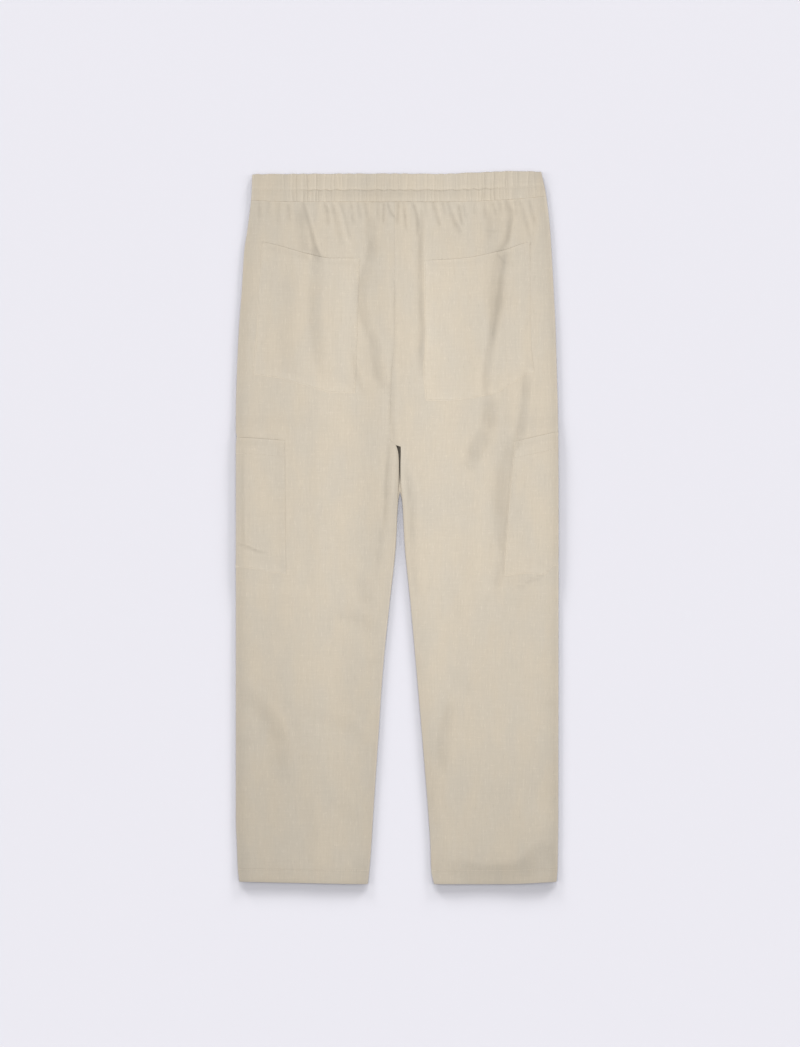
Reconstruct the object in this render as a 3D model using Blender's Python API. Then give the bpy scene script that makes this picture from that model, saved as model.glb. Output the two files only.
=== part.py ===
"""Cargo trousers in natural linen, laid flat on the floor with the back side up.

The waist points toward +Y, the leg on the viewer's right from above lies toward +X, and the floor is
z = 0. Every size below is in millimetres and is turned into metres as a vertex is placed.

A place on the garment is given by x, measured from its middle, and by its drop, measured down from
the waist. Each wall is a grid whose vertices are moved to their places, once for the wall's outer
face and once for its inner face.
"""

import math
from collections import namedtuple

import bmesh
import bpy
from mathutils import Vector

MM = 0.001
LEGS = ("left", "right")

# Overall sizes and the levels of the lying cloth.
LENGTH = 1027.0
CLOTH = 1.3
SEAM_GAP = 0.3
BACK_TOP = 4.8
EDGE_MIDDLE = BACK_TOP / 2
EDGE_ROLL = 9.0
POCKET_LAYER = CLOTH + SEAM_GAP
RELIEF_DOWN = 1.85
RELIEF_UP = 1.7

# Waistband: an elastic casing, gathered by the elastic, with a stitch row along its middle.
BAND_WALL = 2.3
BAND_TOP = 5.3
BAND_ROLL = 6.0
BAND_GATHERS = 40
BAND_GATHER_HEIGHT = 0.75
BAND_STITCH_ROW = 0.62
BAND_ROWS = (0.0, 0.12, 0.38, BAND_STITCH_ROW, 1.0)
BAND_FRONT_COLUMNS = 16

# Gathers that run down from the waistband into the seat.
GATHER_PITCH = 17.0
GATHER_HEIGHT = 0.9
GATHER_LENGTH = 34.0

# Forks where the legs part, and the hem turned up inside each leg.
BACK_FORK = 395.0
FRONT_FORK = 472.0
FORK_ROLL_IN = 14.0
HEM_DEPTH = 22.0
HEM_EXTRA = 0.4

# The stretch of the leg that the cargo pocket wraps, and how far the panels rise over it.
CARGO_TOP = 372.0
CARGO_BOTTOM = 592.0
CARGO_REACH = 134.0
CARGO_RAMP = 22.0

# A grid has one rolled column at each edge and plain ones between. Each refinement doubles them.
PLAIN_COLUMNS = 9
COLUMNS = PLAIN_COLUMNS + 2
SEAM_DROP = 44.0
GATHERED_TO = 86.0
CREASED_TO = 610.0

PANEL_ROWS = (
    SEAM_DROP, 52.0, 62.0, 73.0, GATHERED_TO, 105.0, 125.0, 145.0, 165.0, 185.0, 205.0, 225.0, 245.0, 265.0,
    285.0, 305.0, 325.0, 342.0, 357.0, CARGO_TOP, 383.0, 390.0, 395.0, 397.5, 403.0, 410.0, 420.0, 435.0,
    451.0, 468.0, 486.0, 505.0, 526.0, 548.0, 570.0, CARGO_BOTTOM, CREASED_TO, 634.0, 668.0, 702.0, 736.0,
    770.0, 804.0, 838.0, 874.0, 910.0, 946.0, 976.0, 1004.0, 1006.0, LENGTH,
)
FRONT_ROWS = (
    SEAM_DROP, 110.0, 200.0, 290.0, 342.0, 357.0, CARGO_TOP, 420.0, 455.0, 472.0, 480.0, 490.0, 526.0,
    570.0, CARGO_BOTTOM, CREASED_TO, 634.0, 702.0, 776.0, 852.0, 928.0, 976.0, 1004.0, 1006.0, LENGTH,
)

# The outline, in sections down the garment. Above the fork the two inner edges are the back seam.
Section = namedtuple("Section", "drop left_side left_inner right_inner right_side")
SECTIONS = (
    Section(0, -209.0, -3.9, -3.9, 209.0),
    Section(24, -209.5, -3.9, -3.9, 213.8),
    Section(42, -210.5, -3.9, -3.9, 215.4),
    Section(85, -215.9, -3.8, -3.8, 220.5),
    Section(114, -220.3, -3.6, -3.6, 222.8),
    Section(171, -223.9, -3.2, -3.2, 226.2),
    Section(229, -228.2, -3.8, -3.8, 228.8),
    Section(298, -231.2, -8.1, -8.1, 230.4),
    Section(345, -232.4, -9.6, -9.6, 231.5),
    Section(385, -232.4, -10.2, -10.2, 231.9),
    Section(395, -232.4, -1.9, -1.9, 232.0),
    Section(397.5, -232.4, -0.7, 10.0, 232.0),
    Section(407.5, -232.4, 1.9, 6.8, 232.1),
    Section(422, -232.4, 2.6, 4.6, 232.2),
    Section(440, -232.4, 2.5, 4.7, 232.3),
    Section(474, -232.4, 0.6, 7.3, 232.4),
    Section(539, -232.4, -2.7, 11.2, 232.4),
    Section(611, -232.4, -9.9, 18.1, 232.4),
    Section(719, -232.4, -20.7, 27.8, 232.4),
    Section(827, -232.4, -28.0, 37.0, 232.3),
    Section(935, -232.4, -35.2, 45.6, 232.0),
    Section(971, -230.9, -37.4, 47.8, 231.6),
    Section(1007, -229.6, -40.2, 49.0, 231.0),
    Section(LENGTH, -227.6, -42.4, 53.0, 229.6),
)
FrontMiddle = namedtuple("FrontMiddle", "drop left_inner right_inner")
FRONT_MIDDLE = (
    FrontMiddle(0, -1.0, -1.0),
    FrontMiddle(300, 1.0, 1.0),
    FrontMiddle(FRONT_FORK, 4.6, 4.6),
    FrontMiddle(500, 1.6, 6.6),
    FrontMiddle(539, -1.2, 10.0),
    FrontMiddle(611, -9.3, 17.6),
)

# Heights of the edges that run across the garment, as drops at places from left to right.
Across = namedtuple("Across", "x drop")
WAIST_EDGE = (
    Across(-209, 4.5),
    Across(0, 3.6),
    Across(60, 4.2),
    Across(105, 2.4),
    Across(175, 0),
    Across(209, 1.2),
)
BACK_SEAM = (
    Across(-212, 42),
    Across(-155, SEAM_DROP),
    Across(75, SEAM_DROP),
    Across(130, 42.5),
    Across(180, 39.5),
    Across(217, 35.5),
)
FRONT_SEAM = (Across(-212, 42), Across(0, SEAM_DROP), Across(217, 35.5))
HEM_EDGE = (
    Across(-232, 1023.4),
    Across(-130, 1025.6),
    Across(-45, LENGTH),
    Across(150, LENGTH),
    Across(232, 1023.6),
)

# The large folds of the back. A fold follows its path, and is a soft trough between two raised sides.
Fold = namedtuple("Fold", "width depth path")
FOLDS = (
    Fold(9.0, 2.0, ((-133, 44), (-126, 78), (-117, 112), (-120, 163), (-120, 209), (-111, 272))),
    Fold(12.0, 0.9, ((-146, 144), (-156, 233), (-151, 272))),
    Fold(12.0, 1.7, ((-44, 109), (-54, 157), (-51, 193), (-41, 230), (-33, 266), (-23, 301))),
    Fold(9.0, 2.0, ((24, 49), (33, 84), (34, 144), (35, 209), (34, 256), (37, 291))),
    Fold(11.0, 2.8, ((160, 45), (163, 68), (158, 102), (150, 138), (144, 183), (136, 225), (129, 304))),
    Fold(13.0, 1.3, ((134, 330), (132, 356), (124, 393), (113, 432))),
    Fold(9.0, 1.9, ((185, 304), (184, 335), (178, 377), (158, 400), (149, 455), (142, 487), (152, 521))),
    Fold(9.0, 1.4, ((-8, 330), (-11, 380), (-11, 406), (-15, 455), (-17, 503), (-25, 540), (-39, 599))),
    Fold(9.0, 0.9, ((13, 400), (21, 458), (26, 491), (23, 533), (28, 582))),
    Fold(12.0, 0.9, ((-75, 634), (-52, 641), (-30, 652))),
    Fold(14.0, 1.0, ((-209, 753), (-193, 772), (-172, 805), (-164, 822), (-161, 861))),
    Fold(13.0, 0.8, ((-104, 785), (-75, 796), (-52, 813), (-36, 815))),
    Fold(15.0, 0.7, ((85, 767), (75, 796), (72, 835))),
    Fold(12.0, 1.1, ((100, 998), (129, 1003), (161, 998), (181, 994), (197, 982), (222, 973))),
)
FOLD_END = 0.22
SHOULDER = 0.7

# Outlines of the pockets, as (x, drop). The cargo outlines run on past the side edge.
Outline = namedtuple("Outline", "name points")
BACK_POCKETS = (
    Outline("left", (
        (-194, 102), (-170, 107.5), (-144, 115), (-119, 121.5), (-94, 125.5), (-54, 125.5),
        (-60.5, 320), (-94, 319.5), (-119, 313), (-144, 305.5), (-168, 299), (-207, 293), (-200, 186),
    )),
    Outline("right", (
        (38.5, 129), (69, 127.5), (103, 124.5), (138, 117.5), (160, 112), (178, 105.5), (192, 102),
        (192.5, 240), (197, 289), (185, 295), (165.5, 305.5), (143, 320), (125, 324), (101, 328),
        (73, 331), (41, 331), (36.8, 282), (39.5, 260),
    )),
)
CARGO_POCKETS = (
    Outline("left", (
        (-250, 383), (-230, 383.5), (-162, 388), (-160, 580), (-184, 578.5), (-196, 575),
        (-228, 571.5), (-250, 571.5),
    )),
    Outline("right", (
        (168, 390), (189, 385), (217, 378.5), (229, 376.5), (250, 376.5), (250, 569), (227, 569),
        (212, 581.5), (186, 580), (154, 584), (158.5, 513), (167, 415),
    )),
)

LINEN = (0.66, 0.58, 0.47, 1.0)
LINEN_BAND = (0.63, 0.55, 0.44, 1.0)
LINEN_ROUGHNESS = 0.9


def smooth_step(start, end, value):
    """Rises softly from 0 at start to 1 at end."""
    share = min(1.0, max(0.0, (value - start) / (end - start)))
    return share * share * (3 - 2 * share)


def reading(table, key, column, value):
    """The named column of a table at this value of its key column, by a curve with no overshoot."""
    rows = [(getattr(row, key), getattr(row, column)) for row in table]
    value = min(rows[-1][0], max(rows[0][0], value))
    at = next(i for i in range(len(rows) - 1) if value <= rows[i + 1][0])
    slopes = [(b[1] - a[1]) / (b[0] - a[0]) for a, b in zip(rows, rows[1:])]

    def tangent(i):
        if i in (0, len(slopes)):
            return slopes[min(i, len(slopes) - 1)]
        before, after = slopes[i - 1], slopes[i]
        return 2 * before * after / (before + after) if before * after > 0 else 0.0

    width = rows[at + 1][0] - rows[at][0]
    t = (value - rows[at][0]) / width
    bend_in = width * (tangent(at) - slopes[at])
    bend_out = width * (slopes[at] - tangent(at + 1))
    straight = rows[at][1] + (rows[at + 1][1] - rows[at][1]) * t
    return straight + t * (1 - t) * ((1 - t) * bend_in + t * bend_out)


def distance_along(path, x, drop):
    """How far a place is from a path, and its share of the way along the path."""
    total = sum(math.dist(a, b) for a, b in zip(path, path[1:]))
    best = (math.inf, 0.0)
    passed = 0.0
    for a, b in zip(path, path[1:]):
        length = math.dist(a, b)
        share = ((x - a[0]) * (b[0] - a[0]) + (drop - a[1]) * (b[1] - a[1])) / length**2
        share = min(1.0, max(0.0, share))
        near = (a[0] + share * (b[0] - a[0]), a[1] + share * (b[1] - a[1]))
        best = min(best, (math.dist(near, (x, drop)), (passed + share * length) / total))
        passed += length
    return best


def fold_height(x, drop):
    """Height of the large folds above the plain cloth."""
    height = 0.0
    for fold in FOLDS:
        away, along = distance_along(fold.path, x, drop)
        near = (away / fold.width) ** 2
        if near > 16:
            continue
        fade = smooth_step(-FOLD_END, FOLD_END, along) * smooth_step(-FOLD_END, FOLD_END, 1 - along)
        height -= fold.depth * fade * (1 - SHOULDER * near) * math.exp(-near / 2)
    return height


def gather_height(x, drop):
    """Height of the gathers below the waistband, which die away down the seat."""
    below = max(0.0, drop - reading(BACK_SEAM, "x", "drop", x))
    turns = x / GATHER_PITCH + 0.3 * math.sin(x / 31) + 0.22 * math.sin(x / 13.7 + 2)
    size = 0.75 + 0.25 * math.sin(x / 19 + 1)
    return GATHER_HEIGHT * size * math.cos(2 * math.pi * turns) * math.exp(-below / GATHER_LENGTH)


def swell_height(x, drop):
    """Broad unevenness of cloth that was laid down by hand."""
    return 0.3 * math.sin(x / 41 + drop / 133) + 0.2 * math.sin(x / 23 - drop / 71 + 2)


def relief(x, drop):
    """Height of the back's upper face over its plain level, kept off the front panels below."""
    height = fold_height(x, drop) + gather_height(x, drop) + swell_height(x, drop)
    at_hem = smooth_step(LENGTH - 2 * HEM_DEPTH, LENGTH - HEM_DEPTH, drop)
    limit = RELIEF_UP if height > 0 else RELIEF_DOWN - 2 * HEM_EXTRA * at_hem
    return limit * math.tanh(height / limit)


def cargo_cover(drop):
    """1 along the stretch that the cargo pocket wraps, 0 away from it."""
    after_top = smooth_step(CARGO_TOP - CARGO_RAMP, CARGO_TOP, drop)
    return after_top * smooth_step(CARGO_BOTTOM + CARGO_RAMP, CARGO_BOTTOM, drop)


def lift(x, drop):
    """How far the panels are raised by the half of the cargo pocket that lies below them."""
    return POCKET_LAYER * cargo_cover(drop) * smooth_step(CARGO_REACH - CARGO_RAMP, CARGO_REACH, abs(x))


class Panel:
    """One leg panel with its half of the seat. The back panels lie on the front ones."""

    def __init__(self, leg, is_back):
        self.leg = leg
        self.is_back = is_back
        self.fork = BACK_FORK if is_back else FRONT_FORK
        self.seam = BACK_SEAM if is_back else FRONT_SEAM
        self.inward = 1 if leg == "left" else -1

    def side_x(self, drop):
        """The side edge, set in under the cargo pocket."""
        edge = reading(SECTIONS, "drop", f"{self.leg}_side", drop)
        return edge + self.inward * POCKET_LAYER * cargo_cover(drop)

    def inner_x(self, drop):
        """The edge at the middle seam, and below the fork the edge of the inner leg."""
        column = "left_inner" if drop <= self.fork else f"{self.leg}_inner"
        in_front = not self.is_back and drop < FRONT_MIDDLE[-1].drop
        edge = reading(FRONT_MIDDLE if in_front else SECTIONS, "drop", column, drop)
        return edge - self.inward * SEAM_GAP / 2

    def place(self, column, row_drop, out):
        """A point of the panel.

        column runs from 0 at the side edge to COLUMNS at the inner edge, row_drop is the row's drop,
        and out is how far the point lies outward of the panel's outer face.
        """
        side = self.side_x(row_drop)
        inner = self.inner_x(row_drop)
        width = abs(inner - side)
        at_side = column < 1
        at_inner = column > COLUMNS - 1
        angle = math.pi / 2 * min(1.0, column if at_side else COLUMNS - column)
        roll = 0.0
        from_side = EDGE_ROLL + (width - 2 * EDGE_ROLL) * (column - 1) / PLAIN_COLUMNS
        if at_side:
            roll = 1.0
            from_side = EDGE_ROLL * (1 - math.cos(angle))
        if at_inner:
            roll = smooth_step(self.fork, self.fork + FORK_ROLL_IN, row_drop)
            from_side = width - EDGE_ROLL * (1 - math.cos(angle))
        x = side + self.inward * from_side
        drop = self.drop_of_row(x, row_drop)

        raised = lift(x, drop)
        level = raised + (BACK_TOP + relief(x, drop) if self.is_back else 0.0)
        rim = EDGE_MIDDLE + raised + (SEAM_GAP / 2 if self.is_back else -SEAM_GAP / 2)
        z = level + roll * (rim - level) * (1 - math.sin(angle))
        if out < 0 and row_drop > LENGTH - HEM_DEPTH:
            out -= HEM_EXTRA
        lean = math.pi / 2 - roll * (math.pi / 2 - angle)
        away_from_middle = -self.inward if at_side else self.inward
        x += away_from_middle * out * math.cos(lean)
        z += out * math.sin(lean) * (1 if self.is_back else -1)
        return point(x, drop, z)

    def drop_of_row(self, x, row_drop):
        """The drop of a row at x: the rows near the waist seam and the hem follow those edges."""
        seam = reading(self.seam, "x", "drop", x) + SEAM_GAP / 2
        hem = reading(HEM_EDGE, "x", "drop", x)
        drop = row_drop + (seam - SEAM_DROP) * smooth_step(SEAM_DROP + 60, SEAM_DROP, row_drop)
        return drop + (hem - LENGTH) * smooth_step(LENGTH - 40, LENGTH, row_drop)


def point(x, drop, z):
    """The place in metres."""
    return Vector((x, LENGTH / 2 - drop, z)) * MM


def halved(values):
    """The values with the middle of each pair between them."""
    middles = [(a + b) / 2 for a, b in zip(values, values[1:])]
    return sorted(list(values) + middles)


def material(name, colour):
    """A matt cloth finish."""
    made = bpy.data.materials.new(name)
    made.use_nodes = True
    shader = made.node_tree.nodes["Principled BSDF"]
    shader.inputs["Base Color"].default_value = colour
    shader.inputs["Roughness"].default_value = LINEN_ROUGHNESS
    shader.inputs["Metallic"].default_value = 0.0
    made.diffuse_color = colour
    return made


def wall(name, columns, rows, place, faces_out, finish, refine_to=()):
    """Adds a closed wall of cloth as an object and returns it.

    columns and rows are the grid's values, and place(column, row, out) puts a vertex in space.
    faces_out holds how far the inner and the outer face lie outward. Each drop in refine_to doubles
    the columns of the rows above it.
    """
    mesh = bmesh.new()
    bmesh.ops.create_grid(mesh, x_segments=len(columns) - 1, y_segments=len(rows) - 1, size=0.5)
    for vertex in mesh.verts:
        column = columns[round((vertex.co.x + 0.5) * (len(columns) - 1))]
        row = rows[round((vertex.co.y + 0.5) * (len(rows) - 1))]
        vertex.co = (column, row, 0)
    for limit in refine_to:
        across = [
            edge for edge in mesh.edges
            if edge.verts[0].co.y == edge.verts[1].co.y and edge.verts[0].co.y <= limit
        ]
        bmesh.ops.subdivide_edges(mesh, edges=across, cuts=1, use_single_edge=True)
    grown = bmesh.ops.extrude_face_region(mesh, geom=mesh.faces[:], use_keep_orig=True)
    lifted = [item for item in grown["geom"] if isinstance(item, bmesh.types.BMVert)]
    bmesh.ops.translate(mesh, verts=lifted, vec=(0, 0, 1))
    for vertex in mesh.verts:
        vertex.co = place(vertex.co.x, vertex.co.y, faces_out[round(vertex.co.z)])
    bmesh.ops.triangulate(mesh, faces=mesh.faces)
    bmesh.ops.recalc_face_normals(mesh, faces=mesh.faces)
    return mesh_object(name, mesh, finish)


def mesh_object(name, mesh, finish):
    """Makes an object from a bmesh, and frees the bmesh."""
    data = bpy.data.meshes.new(name)
    mesh.to_mesh(data)
    mesh.free()
    data.materials.append(finish)
    data.shade_smooth()
    made = bpy.data.objects.new(name, data)
    bpy.context.scene.collection.objects.link(made)
    return made


def trim_to(made, outline):
    """Cuts a wall to its outline, seen from above, with a prism that isn't rendered."""
    mesh = bmesh.new()
    foot = [mesh.verts.new(point(x, drop, -20)) for x, drop in outline.points]
    face = mesh.faces.new(foot)
    grown = bmesh.ops.extrude_face_region(mesh, geom=[face], use_keep_orig=True)
    upper = [item for item in grown["geom"] if isinstance(item, bmesh.types.BMVert)]
    bmesh.ops.translate(mesh, verts=upper, vec=(0, 0, 40 * MM))
    bmesh.ops.recalc_face_normals(mesh, faces=mesh.faces)
    cutter = mesh_object(f"{made.name}_outline", mesh, made.data.materials[0])
    cutter.hide_render = True
    cutter.hide_set(True)
    cutter.display_type = "WIRE"
    trim = made.modifiers.new("trim to outline", "BOOLEAN")
    trim.operation = "INTERSECT"
    trim.object = cutter


def back_panel(leg, finish):
    """A back panel, with finer columns where the gathers and the folds are."""
    panel = Panel(leg, is_back=True)
    columns = tuple(range(COLUMNS + 1))
    wall(f"back_{leg}", columns, PANEL_ROWS, panel.place, (-CLOTH, 0.0), finish, (CREASED_TO, GATHERED_TO))


def front_panel(leg, finish):
    """A front panel, flat on the floor."""
    panel = Panel(leg, is_back=False)
    columns = (0, 0.5, *range(1, COLUMNS), COLUMNS - 0.5, COLUMNS)
    wall(f"front_{leg}", columns, FRONT_ROWS, panel.place, (-CLOTH, 0.0), finish)


def back_pocket(outline, finish):
    """A patch pocket made from the points of its panel, moved out."""
    panel = Panel(outline.name, is_back=True)
    drops = [drop for _, drop in outline.points]
    above = max(row for row in PANEL_ROWS if row < min(drops))
    below = min(row for row in PANEL_ROWS if row > max(drops))
    rows = [row for row in PANEL_ROWS if above <= row <= below]
    columns = halved(range(1, COLUMNS))
    made = wall(f"back_pocket_{outline.name}", columns, rows, panel.place, (SEAM_GAP, POCKET_LAYER), finish)
    trim_to(made, outline)


def cargo_pocket(outline, finish):
    """A side pocket, wrapped round the side edge with half of it under the front panel."""
    back = Panel(outline.name, is_back=True)
    front = Panel(outline.name, is_back=False)
    turn = 5
    on_back = [turn - column for column in halved(range(turn))]
    under_front = [turn + 1, turn + 1.5, *range(turn + 2, 2 * turn + 2)]

    def place(column, row_drop, out):
        """The columns run over the back to its edge at turn, then from turn + 1 under the front."""
        if column <= turn:
            return back.place(turn - column, row_drop, out)
        return front.place(column - turn - 1, row_drop, out)

    rows = [row for row in PANEL_ROWS if CARGO_TOP <= row <= CARGO_BOTTOM]
    columns = sorted(on_back) + under_front
    made = wall(f"cargo_pocket_{outline.name}", columns, rows, place, (SEAM_GAP, POCKET_LAYER), finish)
    trim_to(made, outline)


def band_place(is_back, count):
    """Returns the place function of a waistband whose columns run from 0 to count."""
    seam = BACK_SEAM if is_back else FRONT_SEAM
    upward = 1 if is_back else -1
    rim = BAND_TOP / 2 + upward * SEAM_GAP / 2
    level = BAND_TOP if is_back else 0.0

    def place(column, share, out):
        """A point of the band: share runs from its top edge to its seam."""
        left = reading(SECTIONS, "drop", "left_side", SEAM_DROP * share)
        right = reading(SECTIONS, "drop", "right_side", SEAM_DROP * share)
        z = level + upward * out
        if column == 0:
            x, z = left - out, rim
        elif column == count:
            x, z = right + out, rim
        else:
            uneven = 0.28 * math.sin(1.9 * column) + 0.2 * math.sin(0.61 * column)
            at_end = column in (1, count - 1)
            share_across = (column - 1 + (0 if at_end else uneven)) / (count - 2)
            x = left + BAND_ROLL + (right - left - 2 * BAND_ROLL) * share_across
            if is_back and out == 0:
                crest = 1 if column % 2 == 0 else -1
                held = 0.45 if share in (BAND_STITCH_ROW, 1.0) else 1.0
                z += crest * held * BAND_GATHER_HEIGHT * (0.75 + 0.25 * math.sin(0.9 * column))
        top = reading(WAIST_EDGE, "x", "drop", x)
        bottom = reading(seam, "x", "drop", x) - SEAM_GAP / 2
        return point(x, top + (bottom - top) * share, z)

    return place


def waistband(name, is_back, columns, rows, finish):
    """One of the two bands, which meet at the sides. The back band is gathered."""
    wall(name, range(columns + 1), rows, band_place(is_back, columns), (-BAND_WALL, 0.0), finish)


def main():
    """Builds the trousers."""
    for old in list(bpy.data.objects):
        bpy.data.objects.remove(old)
    linen = material("linen", LINEN)
    band_linen = material("waistband linen", LINEN_BAND)
    waistband("waistband_back", True, 2 * BAND_GATHERS, BAND_ROWS, band_linen)
    waistband("waistband_front", False, BAND_FRONT_COLUMNS, (0.0, 0.5, 1.0), band_linen)
    for leg in LEGS:
        back_panel(leg, linen)
        front_panel(leg, linen)
    for outline in BACK_POCKETS:
        back_pocket(outline, linen)
    for outline in CARGO_POCKETS:
        cargo_pocket(outline, linen)


main()
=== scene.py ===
"""The looks of a pair of natural linen cargo trousers, laid flat with the back side up.

The waist points toward +Y, the leg on the viewer's right from above lies toward +X, and the floor is
z = 0. A place on the garment is given in millimetres by x, measured from its middle, and by its drop,
measured down from the waist; it becomes metres last. Each piece is a closed wall of cloth: a grid that
is extruded, and whose two faces are then laid on the garment's form.
"""

import logging
import math
from abc import ABC, abstractmethod
from collections.abc import Callable, Sequence
from dataclasses import dataclass
from enum import Enum
from typing import ClassVar

import bmesh
import bpy
import numpy as np
from mathutils import Euler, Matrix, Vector


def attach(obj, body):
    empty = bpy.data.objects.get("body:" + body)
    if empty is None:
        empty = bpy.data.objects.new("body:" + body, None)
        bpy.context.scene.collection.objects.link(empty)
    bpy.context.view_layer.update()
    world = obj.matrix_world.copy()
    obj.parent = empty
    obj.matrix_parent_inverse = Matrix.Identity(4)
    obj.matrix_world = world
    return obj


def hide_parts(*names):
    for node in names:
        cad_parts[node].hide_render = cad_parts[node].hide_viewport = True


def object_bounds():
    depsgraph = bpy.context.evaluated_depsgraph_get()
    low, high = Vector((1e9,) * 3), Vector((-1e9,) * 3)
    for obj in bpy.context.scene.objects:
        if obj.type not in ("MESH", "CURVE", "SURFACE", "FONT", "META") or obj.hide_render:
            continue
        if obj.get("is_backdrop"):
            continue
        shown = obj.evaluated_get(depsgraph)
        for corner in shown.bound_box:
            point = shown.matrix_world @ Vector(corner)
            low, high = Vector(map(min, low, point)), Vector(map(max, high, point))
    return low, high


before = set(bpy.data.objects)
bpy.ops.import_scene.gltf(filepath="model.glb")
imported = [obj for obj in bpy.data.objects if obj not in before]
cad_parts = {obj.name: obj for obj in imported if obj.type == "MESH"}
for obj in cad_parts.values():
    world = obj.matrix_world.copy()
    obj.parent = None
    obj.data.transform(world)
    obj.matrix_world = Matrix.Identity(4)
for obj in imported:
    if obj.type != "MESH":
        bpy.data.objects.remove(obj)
cad_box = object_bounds()

logging.basicConfig(level=logging.INFO, format="%(message)s")
log = logging.getLogger("cargo_trousers")

Array = np.ndarray
Place = Callable[[Array, Array, Array], Array]

MM = 0.001
BODY = "root"


class Leg(Enum):
    """A leg by its side of the picture, with the direction from its side edge to the middle."""

    LEFT = 1
    RIGHT = -1

    @property
    def word(self) -> str:
        """The leg's name in the names of its pieces."""
        return self.name.lower()


class Lay(Enum):
    """How the cloth lies along a crease."""

    TROUGH = "a soft trough between two raised sides"
    PINCH = "a narrow, sharper trough"
    RIDGE = "a soft ridge"


def smooth_step(start: float, end: float, value: Array | float) -> Array:
    """Rises softly from 0 at start to 1 at end."""
    share = np.clip((value - start) / (end - start), 0.0, 1.0)
    return share * share * (3 - 2 * share)


def bump(distance: Array, width: float) -> Array:
    """A soft round bump of height 1 that dies away over the width."""
    return np.exp(-((distance / width) ** 2))


def opening(from_edge: Array, radius: float, least: float = 0.12) -> Array:
    """How open a wall's edge is: least at the edge itself, and round to full at the radius."""
    left = 1 - np.clip(from_edge / radius, 0.0, 1.0)
    return np.maximum(least, np.sqrt(1 - left * left))


def steps(*stops: tuple[float, float]) -> Array:
    """Grid values between stops.

    Args:
        stops: Pairs of a value and the pitch to keep from it to the next stop.

    Returns:
        The values in rising order, with every stop among them.
    """
    parts = [
        np.linspace(start, end, max(1, round((end - start) / pitch)), endpoint=False)
        for (start, pitch), (end, _) in zip(stops, stops[1:])
    ]
    return np.concatenate([*parts, [stops[-1][0]]])


@dataclass(frozen=True)
class Curve:
    """A smooth reading between known places, with no overshoot.

    Attributes:
        places: Pairs of a key and its value, in rising order of the keys.
    """

    places: tuple[tuple[float, float], ...]

    def at(self, key: Array | float) -> Array:
        """The value at each key, held level beyond both ends."""
        keys, values = np.array(self.places, float).T
        key = np.clip(key, keys[0], keys[-1])
        widths = np.diff(keys)
        slopes = np.diff(values) / widths
        turning = slopes[:-1] * slopes[1:] <= 0
        sums = np.where(turning, 1.0, slopes[:-1] + slopes[1:])
        middle = np.where(turning, 0.0, 2 * slopes[:-1] * slopes[1:] / sums)
        tangents = np.concatenate([slopes[:1], middle, slopes[-1:]])
        i = np.clip(np.searchsorted(keys, key) - 1, 0, len(widths) - 1)
        t = (key - keys[i]) / widths[i]
        bend_in = widths[i] * (tangents[i] - slopes[i])
        bend_out = widths[i] * (slopes[i] - tangents[i + 1])
        straight = values[i] + (values[i + 1] - values[i]) * t
        return straight + t * (1 - t) * ((1 - t) * bend_in + t * bend_out)


@dataclass(frozen=True)
class Levels:
    """Thicknesses and levels of the lying cloth, in millimetres.

    Attributes:
        length: The garment's length, from the casing's top to the lowest hem.
        cloth: Thickness of a panel's or pocket's wall.
        seam_gap: Space between two sewn layers.
        back_top: Height of the back's outer face.
        edge_roll: Width over which a panel's edge rolls down.
        band_wall: Thickness of the casing's wall.
        band_top: Height of the casing's outer face.
        band_roll: Width over which an end of the casing rolls down.
        deepest: How deep creases can go together.
        highest: How high ridges can stand together.
        seam_line: Space between two panels along a seam.
        seam_radius: Radius of the turned edges along a seam.
        seam_drop: Drop of the waist seam.
        hem_depth: Depth of the hem.
        hem_extra: How much thicker the cloth is in the hem.
    """

    length: float = 1027.0
    cloth: float = 1.3
    seam_gap: float = 0.3
    back_top: float = 4.8
    edge_roll: float = 9.0
    band_wall: float = 2.3
    band_top: float = 5.3
    band_roll: float = 6.0
    deepest: float = 1.85
    highest: float = 3.0
    seam_line: float = 0.04
    seam_radius: float = 0.1
    seam_drop: float = 44.0
    hem_depth: float = 22.0
    hem_extra: float = 0.4

    @property
    def layer(self) -> float:
        """A pocket's cloth with the space under it."""
        return self.cloth + self.seam_gap

    @property
    def edge_middle(self) -> float:
        """The height at which back and front meet along a side."""
        return self.back_top / 2


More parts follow.
